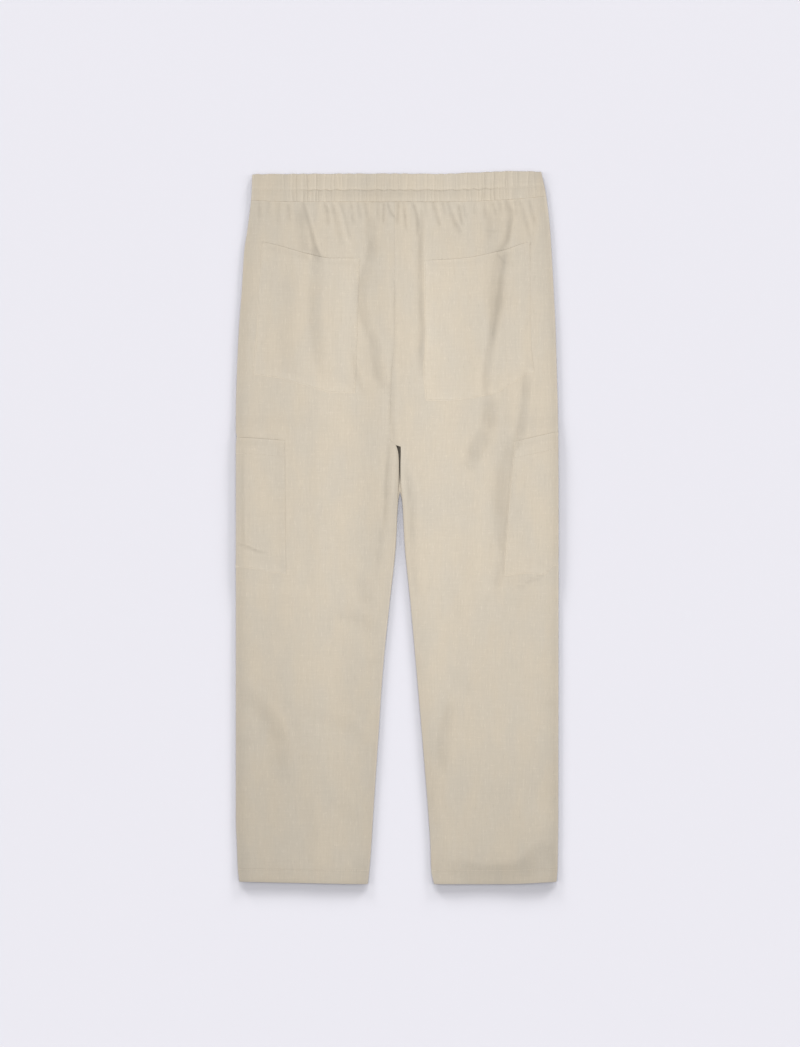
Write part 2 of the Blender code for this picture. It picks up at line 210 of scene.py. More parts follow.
@dataclass(frozen=True)
class Cut:
    """Edges of the garment as it lies: places of the edges by drop, and drops of the edges by x.

    Attributes:
        back_fork: Drop of the fork on the back, and front_fork on the front, which lies a little lower.
        fork_roll_in: Length over which the inner edges start to roll below a fork.
        cargo_top: Drop at which the panels lie fully raised over the cargo pockets' hidden halves.
        cargo_bottom: Drop at which that ends.
        cargo_reach: Distance from the middle beyond which they are raised.
        cargo_ramp: Length over which they rise to it.
        inset_top: Drop at which the panels' side edges start to be set in under the wrapped pockets.
        inset_bottom: Drop at which that ends.
        inset_ramp: Length over which the edges move in.
    """

    back_fork: float = 395.0
    front_fork: float = 460.0
    fork_roll_in: float = 14.0
    cargo_top: float = 372.0
    cargo_bottom: float = 592.0
    cargo_reach: float = 134.0
    cargo_ramp: float = 22.0
    inset_top: float = 374.0
    inset_bottom: float = 571.0
    inset_ramp: float = 12.0
    left_side: Curve = Curve((
        (0, -209), (24, -209.5), (42, -210.5), (85, -215.9), (114, -220.3), (171, -223.9), (229, -228.2),
        (298, -231.2), (345, -232.4), (935, -232.4), (971, -230.9), (1007, -229.6), (1027, -227.6),
    ))
    right_side: Curve = Curve((
        (0, 207.6), (13, 209.8), (24, 211.8), (42, 214.4), (56, 216.4), (85, 220.2), (114, 222.2),
        (171, 225.4), (229, 228.2), (298, 230.2), (345, 231.5), (422, 232.2), (474, 232.4), (935, 232),
        (971, 231.6), (1007, 231), (1027, 229.6),
    ))
    left_inner: Curve = Curve((
        (0, -3.9), (85, -3.8), (114, -3.6), (171, -3.2), (229, -3.8), (298, -8.1), (345, -9.6),
        (385, -10.2), (395, -1.9), (397.5, -0.7), (407.5, 1.9), (422, 2.6), (440, 2.5), (474, 0.6),
        (539, -2.7), (611, -9.9), (719, -20.7), (827, -28), (935, -35.2), (971, -37.4), (1007, -40.2),
        (1027, -42.4),
    ))
    right_inner: Curve = Curve((
        (395, -1.9), (396.5, 5.1), (407.5, 5.0), (422, 4.6), (440, 4.7), (474, 7.3), (539, 11.2),
        (611, 18.1), (719, 27.8), (827, 37), (935, 45.6), (971, 47.8), (1007, 49), (1027, 53),
    ))
    front_left_inner: Curve = Curve((
        (0, -1), (300, 1), (460, 4.0), (474, 1.4), (539, -2.0), (611, -9.6),
    ))
    front_right_inner: Curve = Curve((
        (0, -1), (300, 1), (460, 4.0), (474, 7.0), (539, 10.8), (611, 18.0),
    ))
    waist_edge: Curve = Curve(((-209, 4.5), (0, 3.6), (60, 4.2), (105, 2.4), (175, 0), (209, 1.2)))
    back_seam: Curve = Curve(((-212, 42), (-155, 44), (75, 44), (130, 42.5), (180, 39.5), (217, 35.5)))
    front_seam: Curve = Curve(((-212, 42), (0, 44), (217, 35.5)))
    hem_edge: Curve = Curve(((-232, 1023.4), (-130, 1025.6), (-45, 1027), (150, 1027), (232, 1023.6)))

    def side_x(self, leg: Leg, drop: Array) -> Array:
        """The side edge of the leg."""
        return (self.left_side if leg is Leg.LEFT else self.right_side).at(drop)

    def inner_x(self, leg: Leg, is_back: bool, drop: Array) -> Array:
        """The edge at the middle seam, and below the fork the edge of the inner leg.

        Args:
            leg: The leg.
            is_back: Whether the panel lies on top.
            drop: The drops to read.

        Returns:
            The x of the edge.
        """
        below = self.left_inner if leg is Leg.LEFT else self.right_inner
        if is_back:
            return np.where(drop <= self.back_fork, self.left_inner.at(drop), below.at(drop))
        parted = self.front_left_inner if leg is Leg.LEFT else self.front_right_inner
        middle = np.where(drop <= self.front_fork, self.front_left_inner.at(drop), parted.at(drop))
        return np.where(drop < self.front_left_inner.places[-1][0], middle, below.at(drop))

    def cargo_cover(self, drop: Array) -> Array:
        """1 along the stretch that the cargo pocket wraps, 0 away from it."""
        after_top = smooth_step(self.cargo_top - self.cargo_ramp, self.cargo_top, drop)
        return after_top * smooth_step(self.cargo_bottom + self.cargo_ramp, self.cargo_bottom, drop)

    def inset_side_x(self, leg: Leg, drop: Array) -> Array:
        """The panels' side edge, set in where the cargo pocket is wrapped round it."""
        after_top = smooth_step(self.inset_top, self.inset_top + self.inset_ramp, drop)
        wrapped = after_top * smooth_step(self.inset_bottom, self.inset_bottom - self.inset_ramp, drop)
        return self.side_x(leg, drop) + leg.value * LEVELS.layer * wrapped

    def lift(self, x: Array, drop: Array) -> Array:
        """How far the panels are raised by the half of the cargo pocket that lies below them."""
        near_side = smooth_step(self.cargo_reach - self.cargo_ramp, self.cargo_reach, np.abs(x))
        return LEVELS.layer * self.cargo_cover(drop) * near_side


@dataclass(frozen=True)
class PaintedShadingPatch:
    """A broad soft place of painted light or painted shade on the cloth.

    Attributes:
        x: Its middle.
        drop: Its middle's drop.
        width: Its half width.
        length: Its half length.
        lift: How much painted light it adds, as a share, below zero where it adds painted shade.
    """

    x: float
    drop: float
    width: float
    length: float
    lift: float

    def over(self, x: Array, drop: Array) -> Array:
        """The painted light or shade at each place."""
        return self.lift * bump(x - self.x, self.width) * bump(drop - self.drop, self.length)


@dataclass(frozen=True)
class Shades:
    """How the cloth's tone changes over the garment, as shares of its full tone, nearly all of it painted
    light and shade.

    Attributes:
        trough: Painted shade in a soft trough, for each millimetre of its depth.
        pinch: The same in a sharp one.
        down: Painted light falloff by drop: darker towards the hems.
        across: Painted light falloff by x: each leg is lightest between its own middle and the centre.
        painted_shading_patches: Soft places of painted light and shade, given one by one.
        inside: Painted shadow by drop on the front's inner side, deep in the slit at the fork.
        slit_x: Middle of the slit.
        slit_reach: How far the painted shadow reaches from there.
        thin_edge: Half width of the thin lines of painted light and shade along the edges.
    """

    # Painted shade in crease hollows, per millimetre of depth, soft and sharp.
    trough: float = 0.03
    pinch: float = 0.048
    # Painted light falloff: the cloth darkens towards the hems.
    down: Curve = Curve((
        (0, 0.97), (60, 0.975), (150, 1.005), (300, 1.02), (560, 1.01), (690, 0.97), (800, 0.93),
        (890, 0.885), (985, 0.864), (1012, 0.84), (1027, 0.815),
    ))
    # Painted light falloff across the garment, darkest at the left side.
    across: Curve = Curve((
        (-232, 0.95), (-183, 0.953), (-126, 0.99), (-97, 1.01), (-68, 1.0), (-39, 0.972), (-10, 0.992),
        (18, 1.02), (55, 1.04), (105, 1.018), (162, 0.998), (232, 1.003),
    ))
    # Painted light and shade in broad soft places, with two small painted dark marks at the back pockets'
    # top corners.
    painted_shading_patches: tuple[PaintedShadingPatch, ...] = (
        PaintedShadingPatch(-194, 103, 1.6, 2.0, -0.1),
        PaintedShadingPatch(192, 104, 1.6, 2.4, -0.1),
        PaintedShadingPatch(76, 92, 14, 24, -0.03),
        PaintedShadingPatch(134, 150, 20, 90, -0.03),
        PaintedShadingPatch(-64, 195, 22, 110, 0.04),
        PaintedShadingPatch(48, 235, 12, 30, 0.03),
        PaintedShadingPatch(-8, 260, 16, 110, 0.018),
        PaintedShadingPatch(105, 275, 16, 50, -0.02),
        PaintedShadingPatch(158, 470, 18, 60, -0.03),
        PaintedShadingPatch(-26, 520, 22, 100, -0.03),
        PaintedShadingPatch(175, 600, 32, 32, -0.03),
        PaintedShadingPatch(-70, 750, 18, 60, -0.03),
        PaintedShadingPatch(160, 820, 50, 120, 0.028),
        PaintedShadingPatch(40, 850, 26, 75, -0.03),
        PaintedShadingPatch(205, 925, 25, 28, 0.035),
        PaintedShadingPatch(125, 1003, 110, 15, -0.035),
    )
    # Painted shadow in the slit at the fork: the front's cloth is darkened where it shows between the legs.
    inside: Curve = Curve(((396, 0.16), (424, 0.2), (440, 0.42), (448, 0.85), (458, 1.04)))
    slit_x: float = 3.0
    slit_reach: float = 25.0
    thin_edge: float = 2.4

    def plain(self, x: Array, drop: Array) -> Array:
        """The tone of plain cloth at each place: painted light falloff by drop and x, painted light and
        shade in soft lines along the edges, and painted shading patches.
        """
        from_left = x - CUT.left_side.at(drop)
        from_right = CUT.right_side.at(drop) - x
        parted = smooth_step(CUT.back_fork + 50, CUT.back_fork + 90, drop)
        from_left_inner = abs(x - CUT.left_inner.at(drop))
        from_right_inner = abs(x - CUT.right_inner.at(drop))
        from_hem = CUT.hem_edge.at(x) - drop
        # Painted light and shade along the side, inner and hem edges: shares above zero paint shade, below
        # zero paint light.
        painted_edge_light_and_shade = (
            (0.12 * smooth_step(-60, 200, drop), from_left, 13),
            (0.08, from_right, 15),
            (0.05 * parted, from_right_inner, 16),
            (0.06 * parted, from_right_inner, self.thin_edge),
            (-0.2 * parted, from_left_inner, 0.7 * self.thin_edge),
            (0.08, from_hem, self.thin_edge),
            (-0.16, from_right, self.thin_edge),
        )
        edges = sum(share * bump(distance, width) for share, distance, width in painted_edge_light_and_shade)
        painted_shading_patches = sum(patch.over(x, drop) for patch in self.painted_shading_patches)
        return self.down.at(drop) * self.across.at(x) * (1 - edges + painted_shading_patches)

    def front(self, x: Array, drop: Array) -> Array:
        """The tone of the front panels, with a painted shadow on their inner side in the slit at the fork.
        """
        slit_shadow_mask = bump(x - self.slit_x, self.slit_reach)
        return self.plain(x, drop) * (1 - (1 - self.inside.at(drop)) * slit_shadow_mask)


LEVELS = Levels()
CUT = Cut()
SHADES = Shades()


@dataclass(frozen=True)
class Crease:
    """A crease placed along a path.

    Attributes:
        path: Places (x, drop) that it passes through.
        width: Half its width, on the side to the left of its direction.
        depth: How deep, or for a ridge how high, it is.
        lay: How the cloth lies along it.
        far_share: Its half width on the other side, as a share of width.
        REACH: How many half widths away a crease is still felt.
        POINT_PITCH: Pitch of the points of its line, at most.
    """

    REACH: ClassVar[float] = 4.2
    POINT_PITCH: ClassVar[float] = 7.0

    path: tuple[tuple[float, float], ...]
    width: float
    depth: float
    lay: Lay = Lay.TROUGH
    far_share: float = 1.0

    def line(self) -> tuple[Array, Array]:
        """A smooth line through the path's places, and the share of the way at each of its points."""
        places = np.array(self.path, float)
        passed = np.concatenate([[0], np.cumsum(np.hypot(*np.diff(places, axis=0).T))])
        share = np.linspace(0, 1, max(3, math.ceil(passed[-1] / self.POINT_PITCH)))
        columns = [
            Curve(tuple(zip(passed / passed[-1], places[:, axis]))).at(share) for axis in (0, 1)
        ]
        return np.stack(columns, axis=-1), share

    def over(self, x: Array, drop: Array, section: Callable[[Array, Array], Array]) -> Array:
        """What a cross-section of the crease gives at each place.

        Args:
            x: Places across the garment.
            drop: Their drops.
            section: Gives a value from the distance off the crease's line and the share along it.

        Returns:
            The values, 0 far from the crease.
        """
        line, share = self.line()
        reach = self.REACH * self.width * max(1.0, self.far_share)
        low, high = line.min(axis=0) - reach, line.max(axis=0) + reach
        near = (x > low[0]) & (x < high[0]) & (drop > low[1]) & (drop < high[1])
        added = np.zeros_like(x)
        if near.any():
            added[near] = section(*self.nearest(x[near], drop[near], line, share))
        return added

    def height(self, x: Array, drop: Array) -> Array:
        """Heights that the crease adds, in millimetres, below zero in a trough."""
        return self.over(x, drop, self.section)

    def shade(self, x: Array, drop: Array) -> Array:
        """Painted shade in the hollow of the crease, as a share."""
        return self.over(x, drop, self.hollow)

    def nearest(self, x: Array, drop: Array, line: Array, share: Array) -> tuple[Array, Array]:
        """The signed distance of each place from the line, and how far along the line it lies.

        Args:
            x: Places across the garment.
            drop: Their drops.
            line: Points of the crease's line.
            share: The share of the way at each point of the line.

        Returns:
            The distances, above zero to the left of the line's direction, and the shares.
        """
        best = np.full(x.shape, np.inf)
        side = np.ones_like(x)
        along = np.zeros_like(x)
        for start, end, at_start, at_end in zip(line, line[1:], share, share[1:]):
            run_x, run_drop = end - start
            off_x, off_drop = x - start[0], drop - start[1]
            t = np.clip((off_x * run_x + off_drop * run_drop) / (run_x**2 + run_drop**2), 0, 1)
            away = np.hypot(off_x - t * run_x, off_drop - t * run_drop)
            closer = away < best
            best = np.where(closer, away, best)
            side = np.where(closer, np.sign(off_x * run_drop - off_drop * run_x), side)
            along = np.where(closer, at_start + t * (at_end - at_start), along)
        return best * side, along

    def size(self, along: Array) -> Array:
        """Its depth on the way along it: it fades at both ends and is a little uneven."""
        fade = smooth_step(-0.16, 0.2, along) * smooth_step(-0.16, 0.2, 1 - along)
        phase = self.path[0][0] * 0.37
        uneven = 1 + 0.16 * np.sin(along * 9.0 + phase) + 0.1 * np.sin(along * 23.0 + 2 * phase)
        return self.depth * fade * uneven

    def hollow(self, away: Array, along: Array) -> Array:
        """Share of painted shade in the hollow."""
        if self.lay is Lay.RIDGE:
            return np.zeros_like(away)
        width = np.where(away >= 0, self.width, self.width * self.far_share)
        reach, strength = (0.8, SHADES.pinch) if self.lay is Lay.PINCH else (1.2, SHADES.trough)
        return strength * self.size(along) * bump(away, reach * width)

    def section(self, away: Array, along: Array) -> Array:
        """The crease's cross-section."""
        share = away / np.where(away >= 0, self.width, self.width * self.far_share)
        size = self.size(along)
        if self.lay is Lay.RIDGE:
            return size * np.exp(-share**2 / 2)
        if self.lay is Lay.PINCH:
            return size * (0.42 * np.exp(-share**2 / 5) - 1.42 * np.exp(-np.abs(share) ** 1.3))
        return -size * (1 - 0.7 * share**2) * np.exp(-share**2 / 2)


def creases(*rows: tuple) -> tuple[Crease, ...]:
    """The creases of a table whose columns are path, half width, depth, lay and far share."""
    return tuple(Crease(*row) for row in rows)


# Short names for the tables' lay column.
T, P, R = Lay.TROUGH, Lay.PINCH, Lay.RIDGE

# Creases of the back, in the order seat, thighs, legs, hems.
BACK_CREASES = creases(
    (((-134, 46), (-129, 66), (-122.5, 87), (-117, 109), (-111, 126)), 3.0, 3.2, P, 1.5),
    (((-137, 52), (-132, 84), (-128, 116)), 3.5, 1.9, T, 2.4),
    (((-120, 108), (-113, 120), (-108, 123)), 3.5, 1.6, T, 1.6),
    (((-111, 118), (-111, 151), (-114, 176), (-114, 208), (-112, 240), (-105, 282)), 9.0, 2.3),
    (((-149, 143), (-152, 189), (-155, 240), (-149, 284)), 11.0, 1.1),
    (((-34, 99), (-40, 128), (-45.5, 151), (-49, 170)), 8.0, 2.0, T, 0.6),
    (((-50, 160), (-46, 205), (-38, 227), (-29, 250), (-27, 272), (-22, 295), (-15, 307)),
     8.0, 2.1, T, 0.9),
    (((-60, 262), (-56, 290), (-48, 312)), 5.0, 1.0),
    (((36, 59), (35, 112), (35.5, 163), (36, 202), (38, 227), (36, 256), (38, 291)), 4.2, 2.6, P, 1.3),
    (((24, 46), (27.8, 58), (30.4, 72), (30.4, 90)), 2.4, 2.6, P),
    (((159, 43), (164.5, 61), (162.5, 80), (159, 99), (148, 115)), 4.0, 3.4, P, 1.2),
    (((147, 58), (144, 80), (138, 104)), 11.0, 1.2),
    (((157, 112), (150, 150), (146, 185), (143, 212)), 9.0, 3.4, T, 1.2),
    (((150, 160), (146, 192), (141, 224), (136, 255), (132, 285), (130, 315)), 5.4, 2.6),
    (((155, 118), (149, 157), (145, 189), (140, 224), (136, 258)), 4.2, 2.2, P),
    (((145, 119), (149, 125), (156, 133)), 1.9, 1.7, P),
    (((192, 104), (192.5, 131)), 1.6, 0.8, P),
    (((137, 328), (136, 352), (129, 375), (117, 397), (108, 420)), 8.4, 3.5),
    (((189, 292), (186, 336), (183, 362), (175, 390)), 5.6, 2.7, T, 1.1),
    (((176, 384), (167, 402), (159, 430), (156, 455), (155, 480), (155.5, 505), (154, 527)),
     3.6, 2.7, T, 3.2),
    (((154, 520), (151, 557), (146, 603)), 3.6, 1.1, T, 1.5),
    (((-2, 160), (0, 240), (-6, 292)), 3.2, 0.7),
    (((-3, 286), (-5, 336), (-4, 368), (0, 396)), 4.6, 1.4),
    (((-8, 387), (-10, 422), (-12, 451), (-13, 480), (-15, 510)), 4.6, 2.1),
    (((-18, 512), (-22, 539), (-24, 560)), 5.5, 1.2),
    (((-48, 583), (-42, 600), (-36, 621)), 9.0, 0.9),
    (((18, 431), (23, 464), (26, 493), (24, 531)), 6.0, 1.5),
    (((-221, 402), (-221.5, 450), (-221, 500), (-220, 544)), 2.2, 0.9, P),
    (((-230, 536), (-215, 540), (-203, 546), (-188, 549)), 1.7, 1.7, P),
    (((166.2, 396), (165, 415), (160.5, 464), (156.5, 513), (152.2, 584)), 1.9, 1.7, P),
    (((191, 586), (203, 583.5), (214, 580)), 1.7, 1.2, P),
    (((184, 593), (192, 590), (206, 587)), 1.7, 1.1, P),
    (((173, 597.5), (186, 598)), 1.8, 1.0, P),
    (((128, 84), (137, 87), (147, 84)), 2.6, 0.9, P),
    (((130, 92), (138, 93)), 2.2, 0.7, P),
    (((28, 540), (27, 570), (31, 600)), 7.0, 0.6),
    (((-91, 635), (-69, 637), (-50, 640), (-28, 654)), 9.0, 1.0),
    (((-38, 706), (-27, 703), (-18, 693)), 6.0, 0.9),
    (((108, 546), (104, 583)), 9.0, 0.5),
    (((86, 600), (95, 635)), 9.0, 0.5),
    (((31, 697), (35, 730)), 8.0, 0.6),
    (((88, 720), (107, 736), (126, 726)), 11.0, 0.6),
    (((-211, 747), (-188, 771), (-171, 799), (-161, 825), (-160, 863)), 10.0, 1.9, T, 1.3),
    (((-111, 779), (-69, 794), (-39, 819)), 10.0, 0.9),
    (((83, 762), (74, 797), (70, 826), (70, 854)), 9.0, 1.9),
    (((213, 766), (233, 759)), 6.0, 0.8),
    (((-232, 815), (-203, 822)), 7.0, 0.6),
    (((-82, 906), (-65, 917), (-54, 937)), 10.0, 0.6),
    (((-126, 900), (-120, 925), (-120, 992)), 10.0, 0.5),
    (((49, 891), (53, 929)), 7.0, 0.6),
    (((-62, 1022), (-50, 1009), (-44, 989)), 9.0, 0.9),
    (((93, 997), (130, 1006), (165, 1003), (184, 996), (206, 975), (229, 970)), 8.0, 3.0, T, 2.0),
)

# Gathers that run down from the waistband, listed one by one.
GATHERS = creases(
    (((-195, 44), (-196, 66)), 3.4, 0.5),
    (((-183, 44), (-184, 62)), 3.0, 0.4, P),
    (((-169, 44), (-170, 75)), 3.4, 0.5, P),
    (((-156, 45), (-154, 68)), 3.2, 0.8, P),
    (((-104, 45), (-99, 59), (-98, 76)), 3.0, 1.1, P),
    (((-93, 45), (-90, 60)), 2.8, 0.8, P),
    (((-89, 50), (-84, 72), (-78, 100)), 3.4, 0.8, T, 1.4),
    (((-84, 47), (-77, 70), (-70, 101)), 2.4, 0.8, R),
    (((-66, 44), (-62, 74)), 2.8, 1.0, P),
    (((-56, 44), (-52, 66)), 2.6, 0.6, P),
    (((-45, 44), (-43, 64)), 2.6, 0.9, P),
    (((-38, 60), (-40, 98)), 4.5, 0.8),
    (((-31, 68), (-34, 124)), 4.5, 0.9),
    (((-27, 44), (-27, 72)), 2.4, 0.7, P),
    (((-18, 44), (-19, 72)), 2.6, 1.0, P),
    (((-13, 45), (-9.5, 57), (-2, 67)), 2.4, 0.9, P),
    (((3, 44), (1, 74)), 2.8, 1.0, P),
    (((10, 44), (14, 84)), 2.6, 0.9, P),
    (((42, 44), (43, 66)), 3.0, 0.5, P),
    (((53, 44), (57, 59), (63, 80)), 3.0, 1.0, P),
    (((66, 44), (70, 60)), 2.6, 0.6, P),
    (((74, 44), (82, 67), (93, 88)), 3.0, 1.1, P, 1.4),
    (((89.5, 48), (91.4, 60), (94.5, 77)), 2.4, 1.3, P),
    (((95, 44), (99, 66)), 2.8, 0.8, P),
    (((112, 44), (113, 62)), 3.0, 0.5, P),
    (((126, 44), (128, 68)), 3.0, 0.9, P),
    (((132, 50), (136, 80), (133, 96)), 4.2, 0.4),
    (((138, 44), (143, 62)), 2.8, 0.9, P),
    (((149, 44), (150, 60)), 2.6, 0.7, P),
    (((178, 42), (188, 76), (194, 98)), 3.2, 0.9, P, 1.4),
    (((170, 42), (172, 62)), 2.6, 0.7, P),
    (((191, 42), (200, 76)), 3.0, 0.8, P),
)

# Soft creases of the front, which lies on the floor.
FRONT_CREASES = creases(
    (((-150, 70), (-140, 150), (-146, 240), (-138, 330)), 14.0, 1.0, R),
    (((-70, 90), (-62, 170), (-40, 260)), 12.0, 0.8, R),
    (((60, 80), (66, 180), (52, 280), (40, 360)), 13.0, 0.9, R),
    (((160, 90), (152, 200), (160, 320)), 15.0, 1.1, R),
    (((-190, 640), (-150, 700), (-130, 790)), 16.0, 0.9, R),
    (((-90, 700), (-80, 820), (-96, 930)), 13.0, 0.7, R),
    (((90, 640), (110, 730), (100, 850)), 15.0, 0.9, R),
    (((190, 690), (170, 800), (178, 900)), 14.0, 0.8, R),
)


@dataclass(frozen=True)
class Relief:
    """The unevenness of the back panels: creases, gathers, seams, hems and a broad swell.

    Attributes:
        creases: The listed creases.
        gathers: The listed gathers.
        gathers_drawn: How much stronger those gathers are drawn in than their depths say.
        gather_pitch: Mean pitch of the even gathers between them.
        gather_height: Half the height of the even gathers.
        gather_length: Length over which the even gathers die away.
        pucker_pitch: Pitch of the puckers along a row of stitches.
        seam_width: Half width of the hollow along a seam.
        centre_shade: Painted shade along the centre seam's groove, as a share.
        taut_shade: Painted shade along the waist seam's taut stretch, less slack_lift.
        slack_lift: Painted light along the rest of the waist seam.
        deepest_shade: How much painted shade there can be in all.
    """

    creases: tuple[Crease, ...] = BACK_CREASES
    gathers: tuple[Crease, ...] = GATHERS
    gathers_drawn: float = 1.7
    gather_pitch: float = 17.0
    gather_height: float = 0.45
    gather_length: float = 30.0
    pucker_pitch: float = 11.0
    seam_width: float = 1.6
    centre_shade: float = 0.008
    taut_shade: float = 0.055
    slack_lift: float = 0.035
    deepest_shade: float = 0.24

    def height(self, x: Array, drop: Array) -> Array:
        """Height of the back's upper face over its plain level, kept off the front panels below."""
        height = self.swell(x, drop) + self.gather(x, drop) + self.seams(x, drop)
        for crease in self.creases:
            height = height + crease.height(x, drop)
        for crease in self.gathers:
            height = height + self.gathers_drawn * crease.height(x, drop)
        length = LEVELS.length
        at_hem = smooth_step(length - 2 * LEVELS.hem_depth, length - LEVELS.hem_depth, drop)
        down = LEVELS.deepest - 2 * LEVELS.hem_extra * at_hem
        limit = np.where(height > 0, LEVELS.highest, down)
        return limit * np.tanh(height / limit)

    def tone(self, x: Array, drop: Array) -> Array:
        """The tone of the back's cloth, with painted shade in creases and along the seams, and painted light
        along the slack waist seam.
        """
        shade = sum(crease.shade(x, drop) for crease in self.creases)
        shade = shade + self.gathers_drawn * sum(crease.shade(x, drop) for crease in self.gathers)
        from_middle, sewn = self.centre_seam(x, drop)
        below = drop - CUT.back_seam.at(x)
        # Painted shade along the centre seam's groove.
        shade = shade + self.centre_shade * sewn * bump(from_middle, self.seam_width)
        # Painted shade along the taut waist seam, painted light along its slack stretch.
        waist_shade = self.taut_shade * self.taut_seam(x) - self.slack_lift
        shade = shade + waist_shade * bump(below, self.seam_width)
        return SHADES.plain(x, drop) * (1 - np.minimum(shade, self.deepest_shade))

    def centre_seam(self, x: Array, drop: Array) -> tuple[Array, Array]:
        """The distance from the centre seam, and 1 where it is sewn and 0 below the fork."""
        sewn = smooth_step(CUT.back_fork + 6, CUT.back_fork - 6, drop)
        return x - CUT.left_inner.at(drop), sewn

    def taut_seam(self, x: Array) -> Array:
        """1 along the middle of the waist seam, where it lies as a straight line, and 0 beyond."""
        return smooth_step(-44, -30, x) * smooth_step(88, 72, x)

    def swell(self, x: Array, drop: Array) -> Array:
        """Broad unevenness of cloth that was laid down by hand."""
        broad = 0.3 * np.sin(x / 41 + drop / 133) + 0.2 * np.sin(x / 23 - drop / 71 + 2)
        fine = 0.1 * np.sin(x / 9.3 + np.sin(drop / 37) * 2) * np.sin(drop / 29 + x / 61)
        return broad + fine + 0.08 * np.sin(drop / 8.1 + np.sin(x / 19) * 2.2) * np.sin(x / 33 + drop / 90)

    def gather(self, x: Array, drop: Array) -> Array:
        """The even part of the gathers below the waistband, which dies away down the seat."""
        below = np.maximum(0.0, drop - CUT.back_seam.at(x))
        turns = x / self.gather_pitch + 0.3 * np.sin(x / 31) + 0.22 * np.sin(x / 13.7 + 2)
        size = self.gather_height * (0.75 + 0.25 * np.sin(x / 19 + 1))
        return size * np.cos(2 * math.pi * turns) * np.exp(-below / self.gather_length)

    def seams(self, x: Array, drop: Array) -> Array:
        """The waist seam, the centre seam and the hem's stitch row, each with its puckers."""
        below = drop - CUT.back_seam.at(x)
        waist = -0.3 * self.taut_seam(x) * bump(below, self.seam_width) + 0.15 * bump(below - 6, 4)
        from_middle, sewn = self.centre_seam(x, drop)
        wave = np.sin(2 * math.pi * drop / self.pucker_pitch + np.sin(drop / 31) * 2)
        middle = sewn * (-0.22 * bump(from_middle, 1.8) + 0.15 * bump(np.abs(from_middle) - 6, 4))
        middle = middle + sewn * 0.1 * wave * bump(np.abs(from_middle) - 3, 4)
        above_hem = CUT.hem_edge.at(x) - drop
        hem_wave = np.sin(2 * math.pi * x / self.pucker_pitch + np.sin(x / 27) * 2)
        hem = 0.3 * smooth_step(LEVELS.hem_depth + 2, LEVELS.hem_depth - 3, above_hem)
        hem = hem - 0.35 * bump(above_hem - LEVELS.hem_depth + 2, 1.5)
        return waist + middle + hem + 0.12 * hem_wave * bump(above_hem - LEVELS.hem_depth + 2, 5)


RELIEF = Relief()


class ClothPiece(ABC):
    """A closed wall of cloth: a grid that is extruded, whose two faces are laid on the garment.

    Attributes:
        slot: The record's material slot.
    """

    slot: ClassVar[str] = "linen"

    @property
    @abstractmethod
    def name(self) -> str:
        """The name of its node."""

    @abstractmethod
    def columns(self) -> Array:
        """The grid's values across."""

    @abstractmethod
    def rows(self) -> Array:
        """The grid's values down."""

    @abstractmethod
    def wall_place(self, column: Array, row: Array, face: Array) -> Array:
        """Points of the grid's values, where face is 1 on the outer face and 0 on the inner one."""

    @abstractmethod
    def tone(self, x: Array, drop: Array) -> Array:
        """The tone of the cloth at each place."""

    @abstractmethod
    def flat_size(self) -> tuple[float, float, float]:
        """Width, length and area of the cut that shows, in metres."""

    @abstractmethod
    def rests_on(self) -> list[str]:
        """What it lies on."""

    def build(self, linen: "Linen") -> bpy.types.Object:
        """Makes the piece, hangs it on the body and hides the solid of its node.

        Args:
            linen: The linen that it is cut from.

        Returns:
            The piece, at the origin with its place in its mesh.
        """
        piece = finished(f"{self.name}_cloth", self.wall(), linen.material(self.name))
        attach(piece, BODY)
        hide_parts(self.name)
        width, length, area = self.flat_size()
        self.rests_on()
        log.info("%s: %d faces", piece.name, len(piece.data.polygons))
        return piece

    def wall(self) -> bmesh.types.BMesh:
        """The mesh of the wall, with the cloth's tone, painted light and shade included, at each of its
        points.
        """
        columns, rows = self.columns(), self.rows()
        across, down = len(columns) - 1, len(rows) - 1
        mesh = bmesh.new()
        bmesh.ops.create_grid(mesh, x_segments=across, y_segments=down, size=0.5)
        grown = bmesh.ops.extrude_face_region(mesh, geom=mesh.faces[:], use_keep_orig=True)
        outer = [item for item in grown["geom"] if isinstance(item, bmesh.types.BMVert)]
        bmesh.ops.translate(mesh, verts=outer, vec=(0, 0, 1))
        spots = np.array([vertex.co for vertex in mesh.verts])
        column = columns[np.rint((spots[:, 0] + 0.5) * across).astype(int)]
        row = rows[np.rint((spots[:, 1] + 0.5) * down).astype(int)]
        points = self.wall_place(column, row, spots[:, 2])
        tones = self.tone(points[:, 0], LEVELS.length / 2 - points[:, 1])
        # The tone layer carries painted light and shade as well as the cloth's own tone.
        layer = mesh.verts.layers.float.new("tone")
        for vertex, spot, tone in zip(mesh.verts, points * MM, tones):
            vertex.co = spot
            vertex[layer] = tone
        bmesh.ops.recalc_face_normals(mesh, faces=mesh.faces[:])
        return mesh


def finished(name: str, mesh: bmesh.types.BMesh, finish: bpy.types.Material) -> bpy.types.Object:
    """Turns a bmesh into a smooth piece.

    Args:
        name: The piece's name.
        mesh: The bmesh, which is freed.
        finish: The material.

    Returns:
        The piece, linked to the scene.
    """
    data = bpy.data.meshes.new(name)
    mesh.to_mesh(data)
    mesh.free()
    data.materials.append(finish)
    data.shade_smooth()
    piece = bpy.data.objects.new(name, data)
    bpy.context.scene.collection.objects.link(piece)
    return piece


def lying(x: Array, drop: Array, z: Array) -> Array:
    """The points of places on the garment, in millimetres of the frame."""
    return np.stack([x, LEVELS.length / 2 - drop, z], axis=-1)


